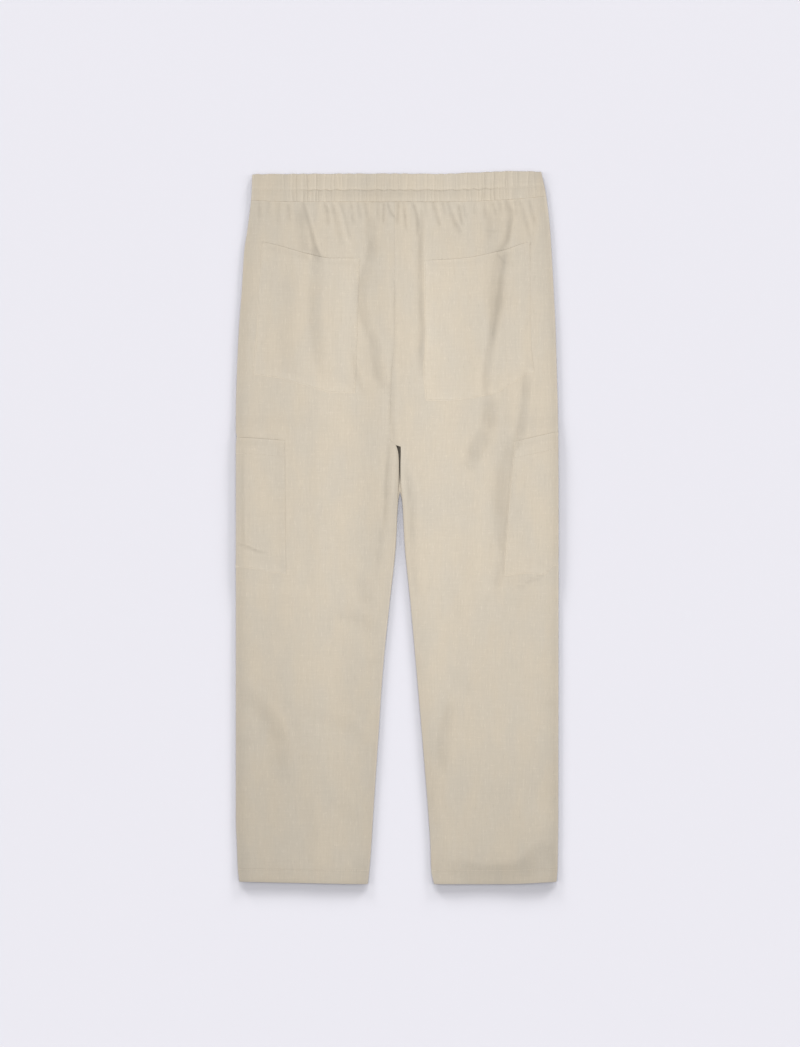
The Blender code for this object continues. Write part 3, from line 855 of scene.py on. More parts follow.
@dataclass
class Panel(ClothPiece):
    """One leg panel with its half of the seat. The back panels lie on the front ones.

    Attributes:
        leg: The leg that it belongs to.
        is_back: Whether it lies on top.
        usual_width: Width that the pitch of the grid's columns is meant for.
        column_pitch: Pitch of the columns there.
        creased_row_pitch: Pitch of the rows where the cloth is creased.
        plain_row_pitch: Pitch of the rows further down.
        creased_to: Drop at which they change.
        hem_radius: Radius of the fold along the hem.
    """

    leg: Leg
    is_back: bool
    usual_width: float = 200.0
    column_pitch: float = 1.95
    creased_row_pitch: float = 2.3
    plain_row_pitch: float = 4.2
    creased_to: float = 620.0
    hem_radius: float = 0.7

    @property
    def name(self) -> str:
        """The name of its node."""
        return f"{'back' if self.is_back else 'front'}_{self.leg.word}"

    @property
    def coarser(self) -> float:
        """How much wider the grid's pitches are, which is so on the front, whose face is hidden."""
        return 1.0 if self.is_back else 1.5

    def side_x(self, drop: Array) -> Array:
        """The side edge, set in under the cargo pocket."""
        return CUT.inset_side_x(self.leg, drop)

    def inner_x(self, drop: Array) -> Array:
        """The edge toward the middle, half a seam line short of it."""
        return CUT.inner_x(self.leg, self.is_back, drop) - self.leg.value * LEVELS.seam_line / 2

    def drop_of_row(self, x: Array, row: Array) -> Array:
        """The drop of a row at x: the rows near the waist seam and the hem follow those edges."""
        seam = (CUT.back_seam if self.is_back else CUT.front_seam).at(x) + LEVELS.seam_line / 2
        top = LEVELS.seam_drop
        drop = row + (seam - top) * smooth_step(top + 60, top, row)
        hem = CUT.hem_edge.at(x) - LEVELS.length
        return drop + hem * smooth_step(LEVELS.length - 40, LEVELS.length, row)

    def face_height(self, x: Array, drop: Array) -> Array:
        """Height of the panel's outer face away from its rolled edges, less the cargo lift."""
        if self.is_back:
            return LEVELS.back_top + RELIEF.height(x, drop)
        raised = sum(crease.height(x, drop) for crease in FRONT_CREASES)
        room = LEVELS.back_top + RELIEF.height(x, drop) - 2 * LEVELS.cloth - 0.2
        return np.clip(raised, 0.0, np.maximum(room, 0.0))

    def place(self, from_side: Array, row: Array, out: Array) -> Array:
        """Points of the panel, or of a layer on it.

        Args:
            from_side: Distance from the side edge, seen from above.
            row: The row's drop.
            out: How far the point lies outward of the panel's outer face.

        Returns:
            The points in millimetres.
        """
        side, inner = self.side_x(row), self.inner_x(row)
        width = np.abs(inner - side)
        roll_width = LEVELS.edge_roll
        at_side = from_side < roll_width
        at_inner = width - from_side < roll_width
        near_edge = np.clip(np.where(at_side, from_side, width - from_side) / roll_width, 0, 1)
        angle = np.arccos(1 - near_edge)
        fork = CUT.back_fork if self.is_back else CUT.front_fork
        legs_apart = smooth_step(fork, fork + CUT.fork_roll_in, row)
        roll = np.where(at_side, 1.0, np.where(at_inner, legs_apart, 0.0))
        x = side + self.leg.value * from_side
        drop = self.drop_of_row(x, row)
        raised = CUT.lift(x, drop)
        level = raised + self.face_height(x, drop)
        upward = 1 if self.is_back else -1
        rim = LEVELS.edge_middle + raised + upward * LEVELS.seam_gap / 2
        z = level + roll * (rim - level) * (1 - np.sin(angle))
        in_hem = smooth_step(LEVELS.length - LEVELS.hem_depth, LEVELS.length - LEVELS.hem_depth + 3, row)
        out = np.where(out < 0, out - LEVELS.hem_extra * in_hem, out)
        lean = math.pi / 2 - roll * (math.pi / 2 - angle)
        outward = np.where(at_side, -self.leg.value, self.leg.value)
        return lying(x + outward * out * np.cos(lean), drop, z + upward * out * np.sin(lean))

    def across(self, column: Array, row: Array) -> Array:
        """Distance of a column from the side edge: 0 to 1 rolls, and so does 2 to 3 at the inner edge."""
        width = np.abs(self.inner_x(row) - self.side_x(row))
        roll_width = LEVELS.edge_roll
        side_turn = 1 - np.cos(math.pi / 2 * np.clip(column, 0, 1))
        inner_turn = 1 - np.cos(math.pi / 2 * np.clip(3 - column, 0, 1))
        plain = np.clip(column - 1, 0, 1) * (width - 2 * roll_width)
        return roll_width * (side_turn + 1 - inner_turn) + plain

    def wall_place(self, column: Array, row: Array, face: Array) -> Array:
        """Points of the panel's own two faces, shut and round along the hem and the seams."""
        from_hem = LEVELS.length - row
        from_seam = row - LEVELS.seam_drop
        open_by = opening(from_hem, self.hem_radius) * opening(from_seam, LEVELS.seam_radius, 0.75)
        middle = -LEVELS.cloth / 2
        out = middle + (face - 0.5) * LEVELS.cloth * open_by
        return self.place(self.across(column, row), row, out)

    def columns(self) -> Array:
        """The grid's columns, closer together over the rolled edges."""
        share = self.column_pitch * self.coarser / self.usual_width
        return steps((0, 0.125), (1, share), (1.94, share / 2), (2, 0.125), (3, 0))

    def rows(self) -> Array:
        """The grid's rows, closer together where the cloth is creased."""
        top, end = LEVELS.seam_drop, LEVELS.length
        fold = end - LEVELS.hem_depth
        creased, plain = self.creased_row_pitch * self.coarser, self.plain_row_pitch * self.coarser
        return steps(
            (top, 0.35), (top + 1.05, 1.2), (top + 8, creased), (self.creased_to, plain),
            (fold - 6, 1.2), (fold + 8, 2.4), (end - 1.05, 0.35), (end, 0),
        )

    def tone(self, x: Array, drop: Array) -> Array:
        """The tone of the panel at each place."""
        return RELIEF.tone(x, drop) if self.is_back else SHADES.front(x, drop)

    def flat_size(self) -> tuple[float, float, float]:
        """Width, length and area of the cut that shows, in metres, with its two rolls laid open."""
        opened_rolls = 2.0
        rows = np.linspace(LEVELS.seam_drop, LEVELS.length, 200)
        widths = np.abs(self.inner_x(rows) - self.side_x(rows)) + opened_rolls
        length = LEVELS.length - LEVELS.seam_drop
        return widths.max() * MM, length * MM, widths.mean() * length * MM**2

    def rests_on(self) -> list[str]:
        """What it lies on."""
        return ["front_left", "front_right"] if self.is_back else ["floor"]

    def stitch_place(self, share: Array, row: Array, face: Array) -> Array:
        """Points at a share of the way across; a face above 1 lies that much further out."""
        width = np.abs(self.inner_x(row) - self.side_x(row))
        return self.place(share * width, row, face - 1)

    def seams(self) -> list["StitchRow"]:
        """The stitch row that holds the leg's hem."""
        row = LEVELS.length - LEVELS.hem_depth + 2
        return [StitchRow(((0.004, row), (0.5, row), (0.996, row)), self.stitch_place)]


@dataclass
class Waistband(ClothPiece):
    """One of the two bands of the elastic casing, which meet at the sides. Both are gathered.

    Attributes:
        is_back: Whether it lies on top.
        rib_count: How many fine ribs the elastic draws up.
        rib_height: Height of a rib of full size.
        rib_pitch: Their mean pitch.
        ribs_from: The x that the first rib is measured from.
        stitch_share: Share of the way down at which the stitch row lies.
        edge_radius: Radius of the fold along its top.
        laid_width: Its width along the waist seam, as it lies.
        pitch: Pitch of the grid's columns as a share of its width, and hidden_pitch the front's.
        flat: Width and length of the gathered band laid open, in metres.
        mean_length: Its mean length, a little less than the longest.
    """

    slot: ClassVar[str] = "waistband_linen"

    is_back: bool
    rib_count: int = 62
    rib_height: float = 0.7
    rib_pitch: float = 6.6
    ribs_from: float = -203.0
    stitch_share: float = 0.58
    edge_radius: float = 1.1
    laid_width: float = 425.0
    pitch: float = 0.0017
    hidden_pitch: float = 0.0025
    flat: tuple[float, float] = (0.433, 0.0435)
    mean_length: float = 0.0425

    @property
    def name(self) -> str:
        """The name of its node."""
        return "waistband_back" if self.is_back else "waistband_front"

    def ribs(self, x: Array, share: Array) -> Array:
        """Height of the fine upright ribs that the elastic gathers the casing into."""
        height = np.zeros_like(x)
        middle = self.ribs_from
        for number in range(self.rib_count):
            middle += self.rib_pitch * (1 + 0.34 * math.sin(2.3 * number) + 0.22 * math.sin(5.1 * number))
            lean = 1.3 * math.sin(1.9 * number) * (share - 0.5) + 0.5 * np.sin(6 * share + number)
            above = 0.15 + 0.85 * abs(math.sin(1.7 * number)) ** 1.5
            below = 0.25 + 0.75 * abs(math.sin(2.9 * number + 1)) ** 1.5
            size = above + (below - above) * smooth_step(0.46, 0.7, share)
            width = 1.0 + 0.35 * math.sin(3.7 * number)
            height = height + size * bump(x - middle - lean, width)
        drawn = 0.25 + 0.6 * smooth_step(-175, -150, x) * smooth_step(214, 200, x)
        drawn = drawn + 0.75 * (bump(x + 118, 42) + bump(x - 150, 40))
        broad = 0.3 * np.cos(2 * math.pi * x / 19 + np.sin(x / 23) * 2 + share)
        return self.rib_height * drawn * (height + broad)

    def pull(self, x: Array, share: Array) -> Array:
        """How strongly the stitch row draws the casing in: 1 on the row, most in the middle."""
        drawn = smooth_step(-155, -118, x) * smooth_step(158, 128, x)
        wobble = 0.75 * np.sin(x / 3.4 + np.sin(x / 17) * 2.4)
        scallop = 0.55 + 0.45 * np.abs(np.sin(math.pi * x / 11.5 + np.sin(x / 29) * 1.6))
        from_row = (share - self.stitch_share) * LEVELS.seam_drop + wobble * drawn
        return (0.1 + 0.9 * drawn * scallop) * bump(from_row, 1.15)

    def face_height(self, x: Array, share: Array) -> Array:
        """Height of the band's outer face over its plain level."""
        from_row = (share - self.stitch_share) * LEVELS.seam_drop
        from_seam = (1 - share) * LEVELS.seam_drop
        held = 1 - 0.5 * bump(from_row, 2.4) - 0.3 * bump(from_seam, 2.4)
        swell = 0.25 * bump(from_row + 12, 7) + 0.2 * bump(from_row - 8, 5)
        edge = -0.45 * bump(from_seam, 5.0)
        height = held * self.ribs(x, share) - 0.85 * self.pull(x, share) + swell + edge
        return height if self.is_back else np.clip(-height, 0.0, 0.6)

    def tone(self, x: Array, drop: Array) -> Array:
        """The tone of the band: painted shade on the back's stitch row and below it, painted light above the
        row, on the ribs and along the slack seam.
        """
        if not self.is_back:
            return SHADES.front(x, drop)
        top, bottom = CUT.waist_edge.at(x), CUT.back_seam.at(x)
        share = np.clip((drop - top) / (bottom - top), 0, 1)
        below_row = smooth_step(self.stitch_share - 0.02, self.stitch_share + 0.04, share)
        middle = smooth_step(-165, -60, x) * smooth_step(160, 60, x)
        # Painted light just above the stitch row, on the rib tops and along the slack seam.
        lift = 0.028 * bump((share - self.stitch_share) * LEVELS.seam_drop + 3.4, 2)
        lift = lift + 0.055 * (self.ribs(x, share) - 0.2)
        lift = lift + 0.025 * (1 - RELIEF.taut_seam(x)) * bump((1 - share) * LEVELS.seam_drop, 1.6)
        # Painted shade where the stitch row draws the casing in, and below it in the middle.
        shade = 0.085 * self.pull(x, share) + 0.055 * below_row * middle * smooth_step(1.0, 0.7, share)
        return SHADES.plain(x, drop) * (1 + lift - shade)

    def place(self, x_share: Array, share: Array, out: Array) -> Array:
        """Points of the band.

        Args:
            x_share: Share of the way from the left edge to the right edge.
            share: Share of the way from the top edge to the waist seam.
            out: How far the point lies outward of the band's outer face.

        Returns:
            The points in millimetres.
        """
        left = CUT.left_side.at(LEVELS.seam_drop * share)
        right = CUT.right_side.at(LEVELS.seam_drop * share)
        x = left + (right - left) * x_share
        from_end = np.minimum(x - left, right - x)
        angle = np.arccos(1 - np.clip(from_end / LEVELS.band_roll, 0, 1))
        upward = 1 if self.is_back else -1
        rim = LEVELS.band_top / 2 + upward * LEVELS.seam_gap / 2
        level = LEVELS.band_top if self.is_back else 0.0
        raised = self.face_height(x, share) * np.where(out < -LEVELS.band_wall / 2, 0.0, 1.0)
        z = level + raised + (rim - level - raised) * (1 - np.sin(angle)) + upward * out * np.sin(angle)
        x = x + np.where(x_share < 0.5, -1, 1) * out * np.cos(angle)
        top = CUT.waist_edge.at(x) + 0.35 * np.sin(x / 3.4 + np.sin(x / 11) * 2)
        seam = CUT.back_seam if self.is_back else CUT.front_seam
        bottom = seam.at(x) - LEVELS.seam_line / 2
        return lying(x, top + (bottom - top) * share, z)

    def wall_place(self, x_share: Array, share: Array, face: Array) -> Array:
        """Points of the band's two faces, folded round along its top and turned in along its seam."""
        from_top, from_seam = share * LEVELS.seam_drop, (1 - share) * LEVELS.seam_drop
        open_by = opening(from_top, self.edge_radius) * opening(from_seam, LEVELS.seam_radius, 0.75)
        out = -LEVELS.band_wall / 2 + (face - 0.5) * LEVELS.band_wall * open_by
        return self.place(x_share, share, out)

    def columns(self) -> Array:
        """The grid's columns, closer together over the rolled ends."""
        turn = LEVELS.band_roll / self.laid_width
        ends = turn * (1 - np.cos(np.linspace(0, math.pi / 2, 8)))
        pitch = self.pitch if self.is_back else self.hidden_pitch
        return np.concatenate([ends, steps((turn, pitch), (1 - turn, 0))[1:-1], 1 - ends[::-1]])

    def rows(self) -> Array:
        """The grid's rows, closer together at the edges and the stitch row."""
        fold, row = self.edge_radius / LEVELS.seam_drop, self.stitch_share
        seam = 1 - fold
        return steps(
            (0, 0.008), (fold, 0.035), (row - 0.08, 0.012), (row + 0.08, 0.035), (seam - 0.06, 0.015),
            (seam, 0.008), (1, 0),
        )

    def flat_size(self) -> tuple[float, float, float]:
        """Width, length and area of the band, in metres, as gathered."""
        return *self.flat, self.flat[0] * self.mean_length

    def rests_on(self) -> list[str]:
        """What it lies on."""
        return ["waistband_front" if self.is_back else "floor"]

    def stitch_place(self, x_share: Array, share: Array, face: Array) -> Array:
        """Points of the band; a face above 1 lies that much further out."""
        return self.place(x_share, share, face - 1)

    def seams(self) -> list["StitchRow"]:
        """The stitch row along the middle of the casing."""
        corners = tuple((float(end), self.stitch_share) for end in np.linspace(0.03, 0.97, 9))
        return [StitchRow(corners, self.stitch_place, length=3.6)]


@dataclass
class Pocket(ClothPiece):
    """A pocket, laid on its panel and moved out.

    Attributes:
        leg: The leg that it is sewn to.
        top: Drop of its mouth by x.
        bottom: Drop of its lower edge by x.
        mouth_hem: Depth of the hem along its mouth.
        gape_at: The x where its mouth gapes.
        gape: How far it gapes there.
        lighter: How much lighter it looks than the panel, as a share.
        turned_edge: Width of the turned edges along its sewn sides.
        stitch_insets: Distances of its stitch rows from the sewn edges.
        edge_radius: Radius of the fold along its mouth.
        pressed_width: Width over which its sewn edges are pressed thin.
        mouth_thin: Thickness of the cloth at the mouth, as a share.
        hem_mark: How far the mouth's hem stands up.
        flat: Width, length and area of its cut, in metres.
        settling: Rounds in which a share across and down settles on its place between slanted edges.
        row_start: Share at which a stitch row starts, just off the mouth.
    """

    settling: ClassVar[int] = 4
    row_start: ClassVar[float] = 0.004

    leg: Leg
    top: Curve
    bottom: Curve
    mouth_hem: float = 22.0
    gape_at: float = 0.0
    gape: float = 0.0
    lighter: float = 0.008
    turned_edge: float = 9.0
    stitch_insets: tuple[float, ...] = (1.7,)
    edge_radius: float = 0.5
    pressed_width: float = 14.0
    mouth_thin: float = 0.13
    hem_mark: float = 0.0
    flat: tuple[float, float, float] = (0.158, 0.226, 0.0292)

    @abstractmethod
    def from_sewn_side(self, x: Array, drop: Array) -> Array:
        """Distance from the nearer sewn side edge."""

    def insets(self, x: Array, drop: Array) -> tuple[Array, Array, Array]:
        """Distances from the nearer sewn side edge, the mouth and the lower edge."""
        return self.from_sewn_side(x, drop), drop - self.top.at(x), self.bottom.at(x) - drop

    def flat_size(self) -> tuple[float, float, float]:
        """Width, length and area of its cut, in metres."""
        return self.flat

    def layer_height(self, from_side: Array, from_mouth: Array, from_bottom: Array) -> Array:
        """Height of the pocket's outer face over its plain level.

        Args:
            from_side: Distance from the nearer sewn side edge.
            from_mouth: Distance from the mouth.
            from_bottom: Distance from the lower edge.

        Returns:
            Heights in millimetres: turned edges and hems stand up, stitch rows pull down.
        """
        sewn = np.minimum(from_side, from_bottom)
        height = 0.08 * smooth_step(self.turned_edge + 4, self.turned_edge - 3, sewn)
        for inset in self.stitch_insets:
            height = height - 0.12 * bump(sewn - inset, 0.8)
        hem = self.hem_mark * smooth_step(self.mouth_hem + 4, self.mouth_hem - 2, from_mouth)
        height = np.maximum(height, hem) - self.hem_mark * bump(from_mouth - self.mouth_hem + 1.5, 1.0)
        pucker = 0.1 * np.sin(2 * math.pi * (from_mouth - 0.4 * from_side) / 9.5)
        return height + pucker * bump(from_side - 5, 5) * smooth_step(4, 12, from_bottom)

    def mouth_height(self, x: Array, from_side: Array, from_mouth: Array) -> Array:
        """How far the mouth gapes where a crease runs into it."""
        gape = self.gape * bump(x - self.gape_at, 16)
        return gape * bump(from_mouth, 4.5) * smooth_step(2, 22, from_side)

    def tone(self, x: Array, drop: Array) -> Array:
        """The tone of the pocket: a little lighter than its panel, with painted light along its turned edges
        and its mouth.
        """
        from_side, from_mouth, from_bottom = self.insets(x, drop)
        sewn = np.minimum(from_side, from_bottom)
        # Painted light along the mouth and just inside the sewn edges.
        mouth = 0.014 * bump(from_mouth - 3.4, 2.4) + 0.05 * bump(from_mouth, 1.3)
        edge = 0.03 * bump(sewn - 1.0, 2.2) + mouth
        return RELIEF.tone(x, drop) * (1 + self.lighter + edge)

    def face_out(self, sewn: Array, from_mouth: Array, face: Array) -> Array:
        """How far out each face lies: sewn edges are pressed thin, and the mouth's is round.

        Args:
            sewn: Distance from the nearest sewn edge.
            from_mouth: Distance from the mouth.
            face: 1 outside, 0 inside.

        Returns:
            Distances in millimetres from the panel's outer face.
        """
        pressed = smooth_step(-0.12 * self.pressed_width, self.pressed_width, sewn)
        under = 0.05 + (LEVELS.seam_gap - 0.05) * pressed
        at_mouth = self.mouth_thin + (1 - self.mouth_thin) * smooth_step(0, 12, from_mouth)
        thick = 0.12 + (LEVELS.cloth - 0.12) * pressed * at_mouth
        middle = under + thick / 2
        return middle + (face - 0.5) * thick * opening(from_mouth, self.edge_radius)


@dataclass
class BackPocket(Pocket):
    """A patch pocket on the seat.

    Attributes:
        left: The x of its left edge by drop.
        right: The x of its right edge by drop.
        width: Its usual width.
        height: Its usual height.
        middle_drop: A drop near its middle.
    """

    left: Curve = Curve(((100, -194), (186, -200), (293, -207)))
    right: Curve = Curve(((125, -54), (320, -60.5)))
    width: float = 148.0
    height: float = 196.0
    middle_drop: float = 200.0

    @property
    def name(self) -> str:
        """The name of its node."""
        return f"back_pocket_{self.leg.word}"

    def spot(self, across: Array, down: Array) -> tuple[Array, Array]:
        """The x and drop at a share of the way across and down."""
        drop = np.full_like(across, self.middle_drop)
        for _ in range(self.settling):
            left, right = self.left.at(drop), self.right.at(drop)
            x = left + (right - left) * across
            drop = self.top.at(x) + (self.bottom.at(x) - self.top.at(x)) * down
        return x, drop

    def wall_place(self, across: Array, down: Array, face: Array) -> Array:
        """Points of the pocket's faces; a face above 1 lies that much further out in millimetres."""
        x, drop = self.spot(across, down)
        beyond = np.maximum(face - 1, 0)
        face = np.minimum(face, 1)
        from_side, from_mouth, from_bottom = self.insets(x, drop)
        sewn = np.minimum(from_side, from_bottom)
        out = self.face_out(sewn, from_mouth, face) + beyond
        out = out + self.layer_height(from_side, from_mouth, from_bottom) * face * opening(sewn, 3)
        out = out + self.mouth_height(x, from_side, from_mouth)
        panel = Panel(self.leg, is_back=True)
        return lying(x, drop, out + panel.face_height(x, drop) + CUT.lift(x, drop))

    def from_sewn_side(self, x: Array, drop: Array) -> Array:
        """Distance from the nearer side edge."""
        return np.minimum(x - self.left.at(drop), self.right.at(drop) - x)

    def grid(self, size: float) -> Array:
        """Shares across or down a pocket of this size, closer together along its edges."""
        fine = steps((0, 0.25), (1, 0.8), (10, 0)) / size
        plain = steps((fine[-1], 1.9 / size), (1 - fine[-1], 0))
        return np.concatenate([fine[:-1], plain[:-1], 1 - fine[::-1]])

    def columns(self) -> Array:
        """Shares across."""
        return self.grid(self.width)

    def rows(self) -> Array:
        """Shares down."""
        return self.grid(self.height)

    def rests_on(self) -> list[str]:
        """What it lies on."""
        return [f"back_{self.leg.word}"]

    def seams(self) -> list["StitchRow"]:
        """The rows round the three sewn edges."""
        rows = []
        for inset in self.stitch_insets:
            u, v = inset / self.width, 1 - inset / self.height
            corners = (u, self.row_start), (u, v), (1 - u, v), (1 - u, self.row_start)
            rows.append(StitchRow(corners, self.wall_place))
        return rows


@dataclass
class CargoPocket(Pocket):
    """A pocket wrapped round the side of the leg, with half of it under the front panel.

    Attributes:
        inner: The x of its inner edge by drop, on the back; the hidden half mirrors it.
        half: Usual width of the half that shows.
        height: Its usual height.
        middle_drop: A drop near its middle.
    """

    inner: Curve = Curve(((388, -162), (580, -160)))
    half: float = 72.0
    height: float = 193.0
    middle_drop: float = 480.0
    mouth_hem: float = 25.0
    flat: tuple[float, float, float] = (0.156, 0.206, 0.0298)

    @property
    def name(self) -> str:
        """The name of its node."""
        return f"cargo_pocket_{self.leg.word}"

    def spot(self, across: Array, down: Array) -> tuple[Array, Array, Array]:
        """Distance from the side edge, drop, and width of the half at a share across and down."""
        drop = np.full_like(across, self.middle_drop)
        for _ in range(self.settling):
            side = CUT.inset_side_x(self.leg, drop)
            half = np.abs(self.inner.at(drop) - side)
            from_side = half * np.abs(1 - 2 * across)
            x = side + self.leg.value * from_side
            drop = self.top.at(x) + (self.bottom.at(x) - self.top.at(x)) * down
        return from_side, drop, half

    def wall_place(self, across: Array, down: Array, face: Array) -> Array:
        """Points of the pocket's faces; a face above 1 lies that much further out in millimetres."""
        from_side, drop, half = self.spot(across, down)
        x = CUT.side_x(self.leg, drop) + self.leg.value * from_side
        beyond = np.maximum(face - 1, 0)
        face = np.minimum(face, 1)
        from_inner = half - from_side
        from_mouth, from_bottom = drop - self.top.at(x), self.bottom.at(x) - drop
        sewn = np.minimum(from_inner, from_bottom)
        height = self.layer_height(from_inner, from_mouth, from_bottom) * face * opening(sewn, 3)
        height = height + self.mouth_height(x, from_inner, from_mouth)
        on_back = across <= 0.5
        out = self.face_out(sewn, from_mouth, face) + np.where(on_back, height, 0.0) + beyond
        above = Panel(self.leg, is_back=True).place(from_side, drop, out)
        below = Panel(self.leg, is_back=False).place(from_side, drop, np.minimum(out, LEVELS.layer))
        below[..., 2] = np.maximum(below[..., 2], 0.0)
        return np.where(on_back[..., None], above, below)

    def from_sewn_side(self, x: Array, drop: Array) -> Array:
        """Distance from the inner edge."""
        return np.abs(self.inner.at(drop) - x)

    def columns(self) -> Array:
        """Shares across, closer together along the edges and round the side."""
        half = self.half
        turn = LEVELS.edge_roll * (1 - np.cos(np.linspace(0, math.pi / 2, 9)))
        flat = steps((LEVELS.edge_roll, 1.9), (half - 10, 0.8), (half - 1, 0.25), (half, 0))
        away = np.concatenate([turn[:-1], flat]) / half / 2
        return np.concatenate([0.5 - away[::-1], 0.5 + away + 1e-6 * (away == 0)])

    def rows(self) -> Array:
        """Shares down, closer together along the mouth and the lower edge."""
        size = self.height
        return steps((0, 0.25), (1, 0.9), (10, 1.9), (size - 10, 0.8), (size - 1, 0.25), (size, 0)) / size

    def rests_on(self) -> list[str]:
        """What it lies on, with its hidden half."""
        return [f"back_{self.leg.word}", f"front_{self.leg.word}", "floor"]

    def seams(self) -> list["StitchRow"]:
        """The rows round the sewn edges that show, and one along the hem of the mouth."""
        rows = []
        for inset in self.stitch_insets:
            u, v = inset / self.half / 2, 1 - inset / self.height
            rows.append(StitchRow(((u, self.row_start), (u, v), (0.5, v)), self.wall_place))
        hem = (self.mouth_hem - 1.5) / self.height
        return [*rows, StitchRow(((0.012, hem), (0.3, hem), (0.5, hem)), self.wall_place)]


@dataclass(frozen=True)
class StitchRow:
    """One row of stitches on a piece.

    Attributes:
        corners: The piece's own coordinates at each corner of the row.
        place: The piece's place function, in whose faces 1 is the outer face.
        length: Length of a stitch.
        thread: Radius of the thread.
        samples: How many places are read between two corners.
        stitch: Pairs of a share of the way along a stitch and the thread's rise there.
    """

    corners: tuple[tuple[float, float], ...]
    place: Place
    length: float = 3.1
    thread: float = 0.2
    samples: int = 80
    stitch: tuple[tuple[float, float], ...] = ((0.0, -0.5), (0.16, 0.1), (0.5, 0.2), (0.84, 0.1))

    def line(self) -> Array:
        """Points of the thread: it lies along each stitch and dives into the cloth between them."""
        places = np.array(self.corners, float)
        ends = np.arange(len(places))
        share = np.linspace(0, ends[-1], self.samples * ends[-1] + 1)
        u, v = (np.interp(share, ends, places[:, axis]) for axis in (0, 1))
        path = self.place(u, v, np.ones_like(u))
        passed = np.concatenate([[0], np.cumsum(np.linalg.norm(np.diff(path, axis=0), axis=1))])
        count = max(1, round(passed[-1] / self.length))
        within, rise = np.array(self.stitch).T
        marks = (np.arange(count)[:, None] + within).ravel() * passed[-1] / count
        u, v = (np.interp(marks, passed, values) for values in (u, v))
        rises = np.tile(rise, count)
        points = self.place(u, v, 1 + np.maximum(rises, 0))
        points[:, 2] += np.minimum(rises, 0)
        return points


@dataclass
class Stitching:
    """The thread of one piece's seams.

    Attributes:
        name: The name of its own piece.
        rows: Its stitch rows.
        slot: The record's material slot; not used.
    """

    name: str
    rows: Sequence[StitchRow]
    slot: str

    def build(self, finish: bpy.types.Material) -> bpy.types.Object:
        """Makes a round thread along every row, as one mesh piece."""
        curve = bpy.data.curves.new(f"{self.name}_lines", "CURVE")
        curve.dimensions = "3D"
        curve.bevel_depth = self.rows[0].thread * MM
        curve.bevel_resolution = 0
        curve.use_fill_caps = True
        for row in self.rows:
            points = row.line() * MM
            spline = curve.splines.new("POLY")
            spline.points.add(len(points) - 1)
            spline.points.foreach_set("co", np.column_stack([points, np.ones(len(points))]).ravel())
        guide = bpy.data.objects.new(f"{self.name}_lines", curve)
        bpy.context.scene.collection.objects.link(guide)
        solid = guide.evaluated_get(bpy.context.evaluated_depsgraph_get())
        mesh = bmesh.new()
        mesh.from_mesh(bpy.data.meshes.new_from_object(solid))
        bpy.data.objects.remove(guide)
        bmesh.ops.recalc_face_normals(mesh, faces=mesh.faces[:])
        piece = finished(self.name, mesh, finish)
        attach(piece, BODY)
        log.info("%s: %d faces", piece.name, len(piece.data.polygons))
        return piece


class NodeBoard:
    """Lays out the nodes of one material."""

    def __init__(self, name: str) -> None:
        """Starts a material with a principled shader."""
        self.material = bpy.data.materials.new(name)
        self.material.use_nodes = True
        self.tree = self.material.node_tree
        self.shader = self.tree.nodes["Principled BSDF"]

    def add(self, kind: str, sockets: dict | None = None, **settings: object) -> bpy.types.Node:
        """Adds a node.

        Args:
            kind: The node's type, without the ShaderNode in front.
            sockets: Values or output sockets for its inputs, by name or place.
            settings: The node's own settings.

        Returns:
            The node.
        """
        node = self.tree.nodes.new(f"ShaderNode{kind}")
        for name, value in settings.items():
            setattr(node, name, value)
        self.feed(node, sockets or {})
        return node

    def feed(self, node: bpy.types.Node, sockets: dict) -> None:
        """Gives inputs of a node their values or links."""
        for name, value in sockets.items():
            if isinstance(value, bpy.types.NodeSocket):
                self.tree.links.new(value, node.inputs[name])
            else:
                node.inputs[name].default_value = value

    def math(self, operation: str, first: object, second: object = 0.0, third: object = 0.0) -> object:
        """The result of a Math node."""
        made = self.add("Math", {0: first, 1: second, 2: third}, operation=operation)
        return made.outputs[0]

    def noise(self, at: object, stretch: tuple[float, float], detail: float = 2.0) -> object:
        """Noise with this many features to a millimetre across and along."""
        scaled = self.add("VectorMath", {0: at, 1: (*stretch, 0.0)}, operation="MULTIPLY")
        made = self.add("TexNoise", {"Vector": scaled.outputs[0], "Scale": 1.0, "Detail": detail})
        return made.outputs["Fac"]

    def peaks(self, value: object, low: float, high: float) -> object:
        """0 where the value is short of low, rising softly to 1 at high."""
        made = self.add("MapRange", {"Value": value, "From Min": low, "From Max": high},
                        interpolation_type="SMOOTHSTEP")
        return made.outputs["Result"]


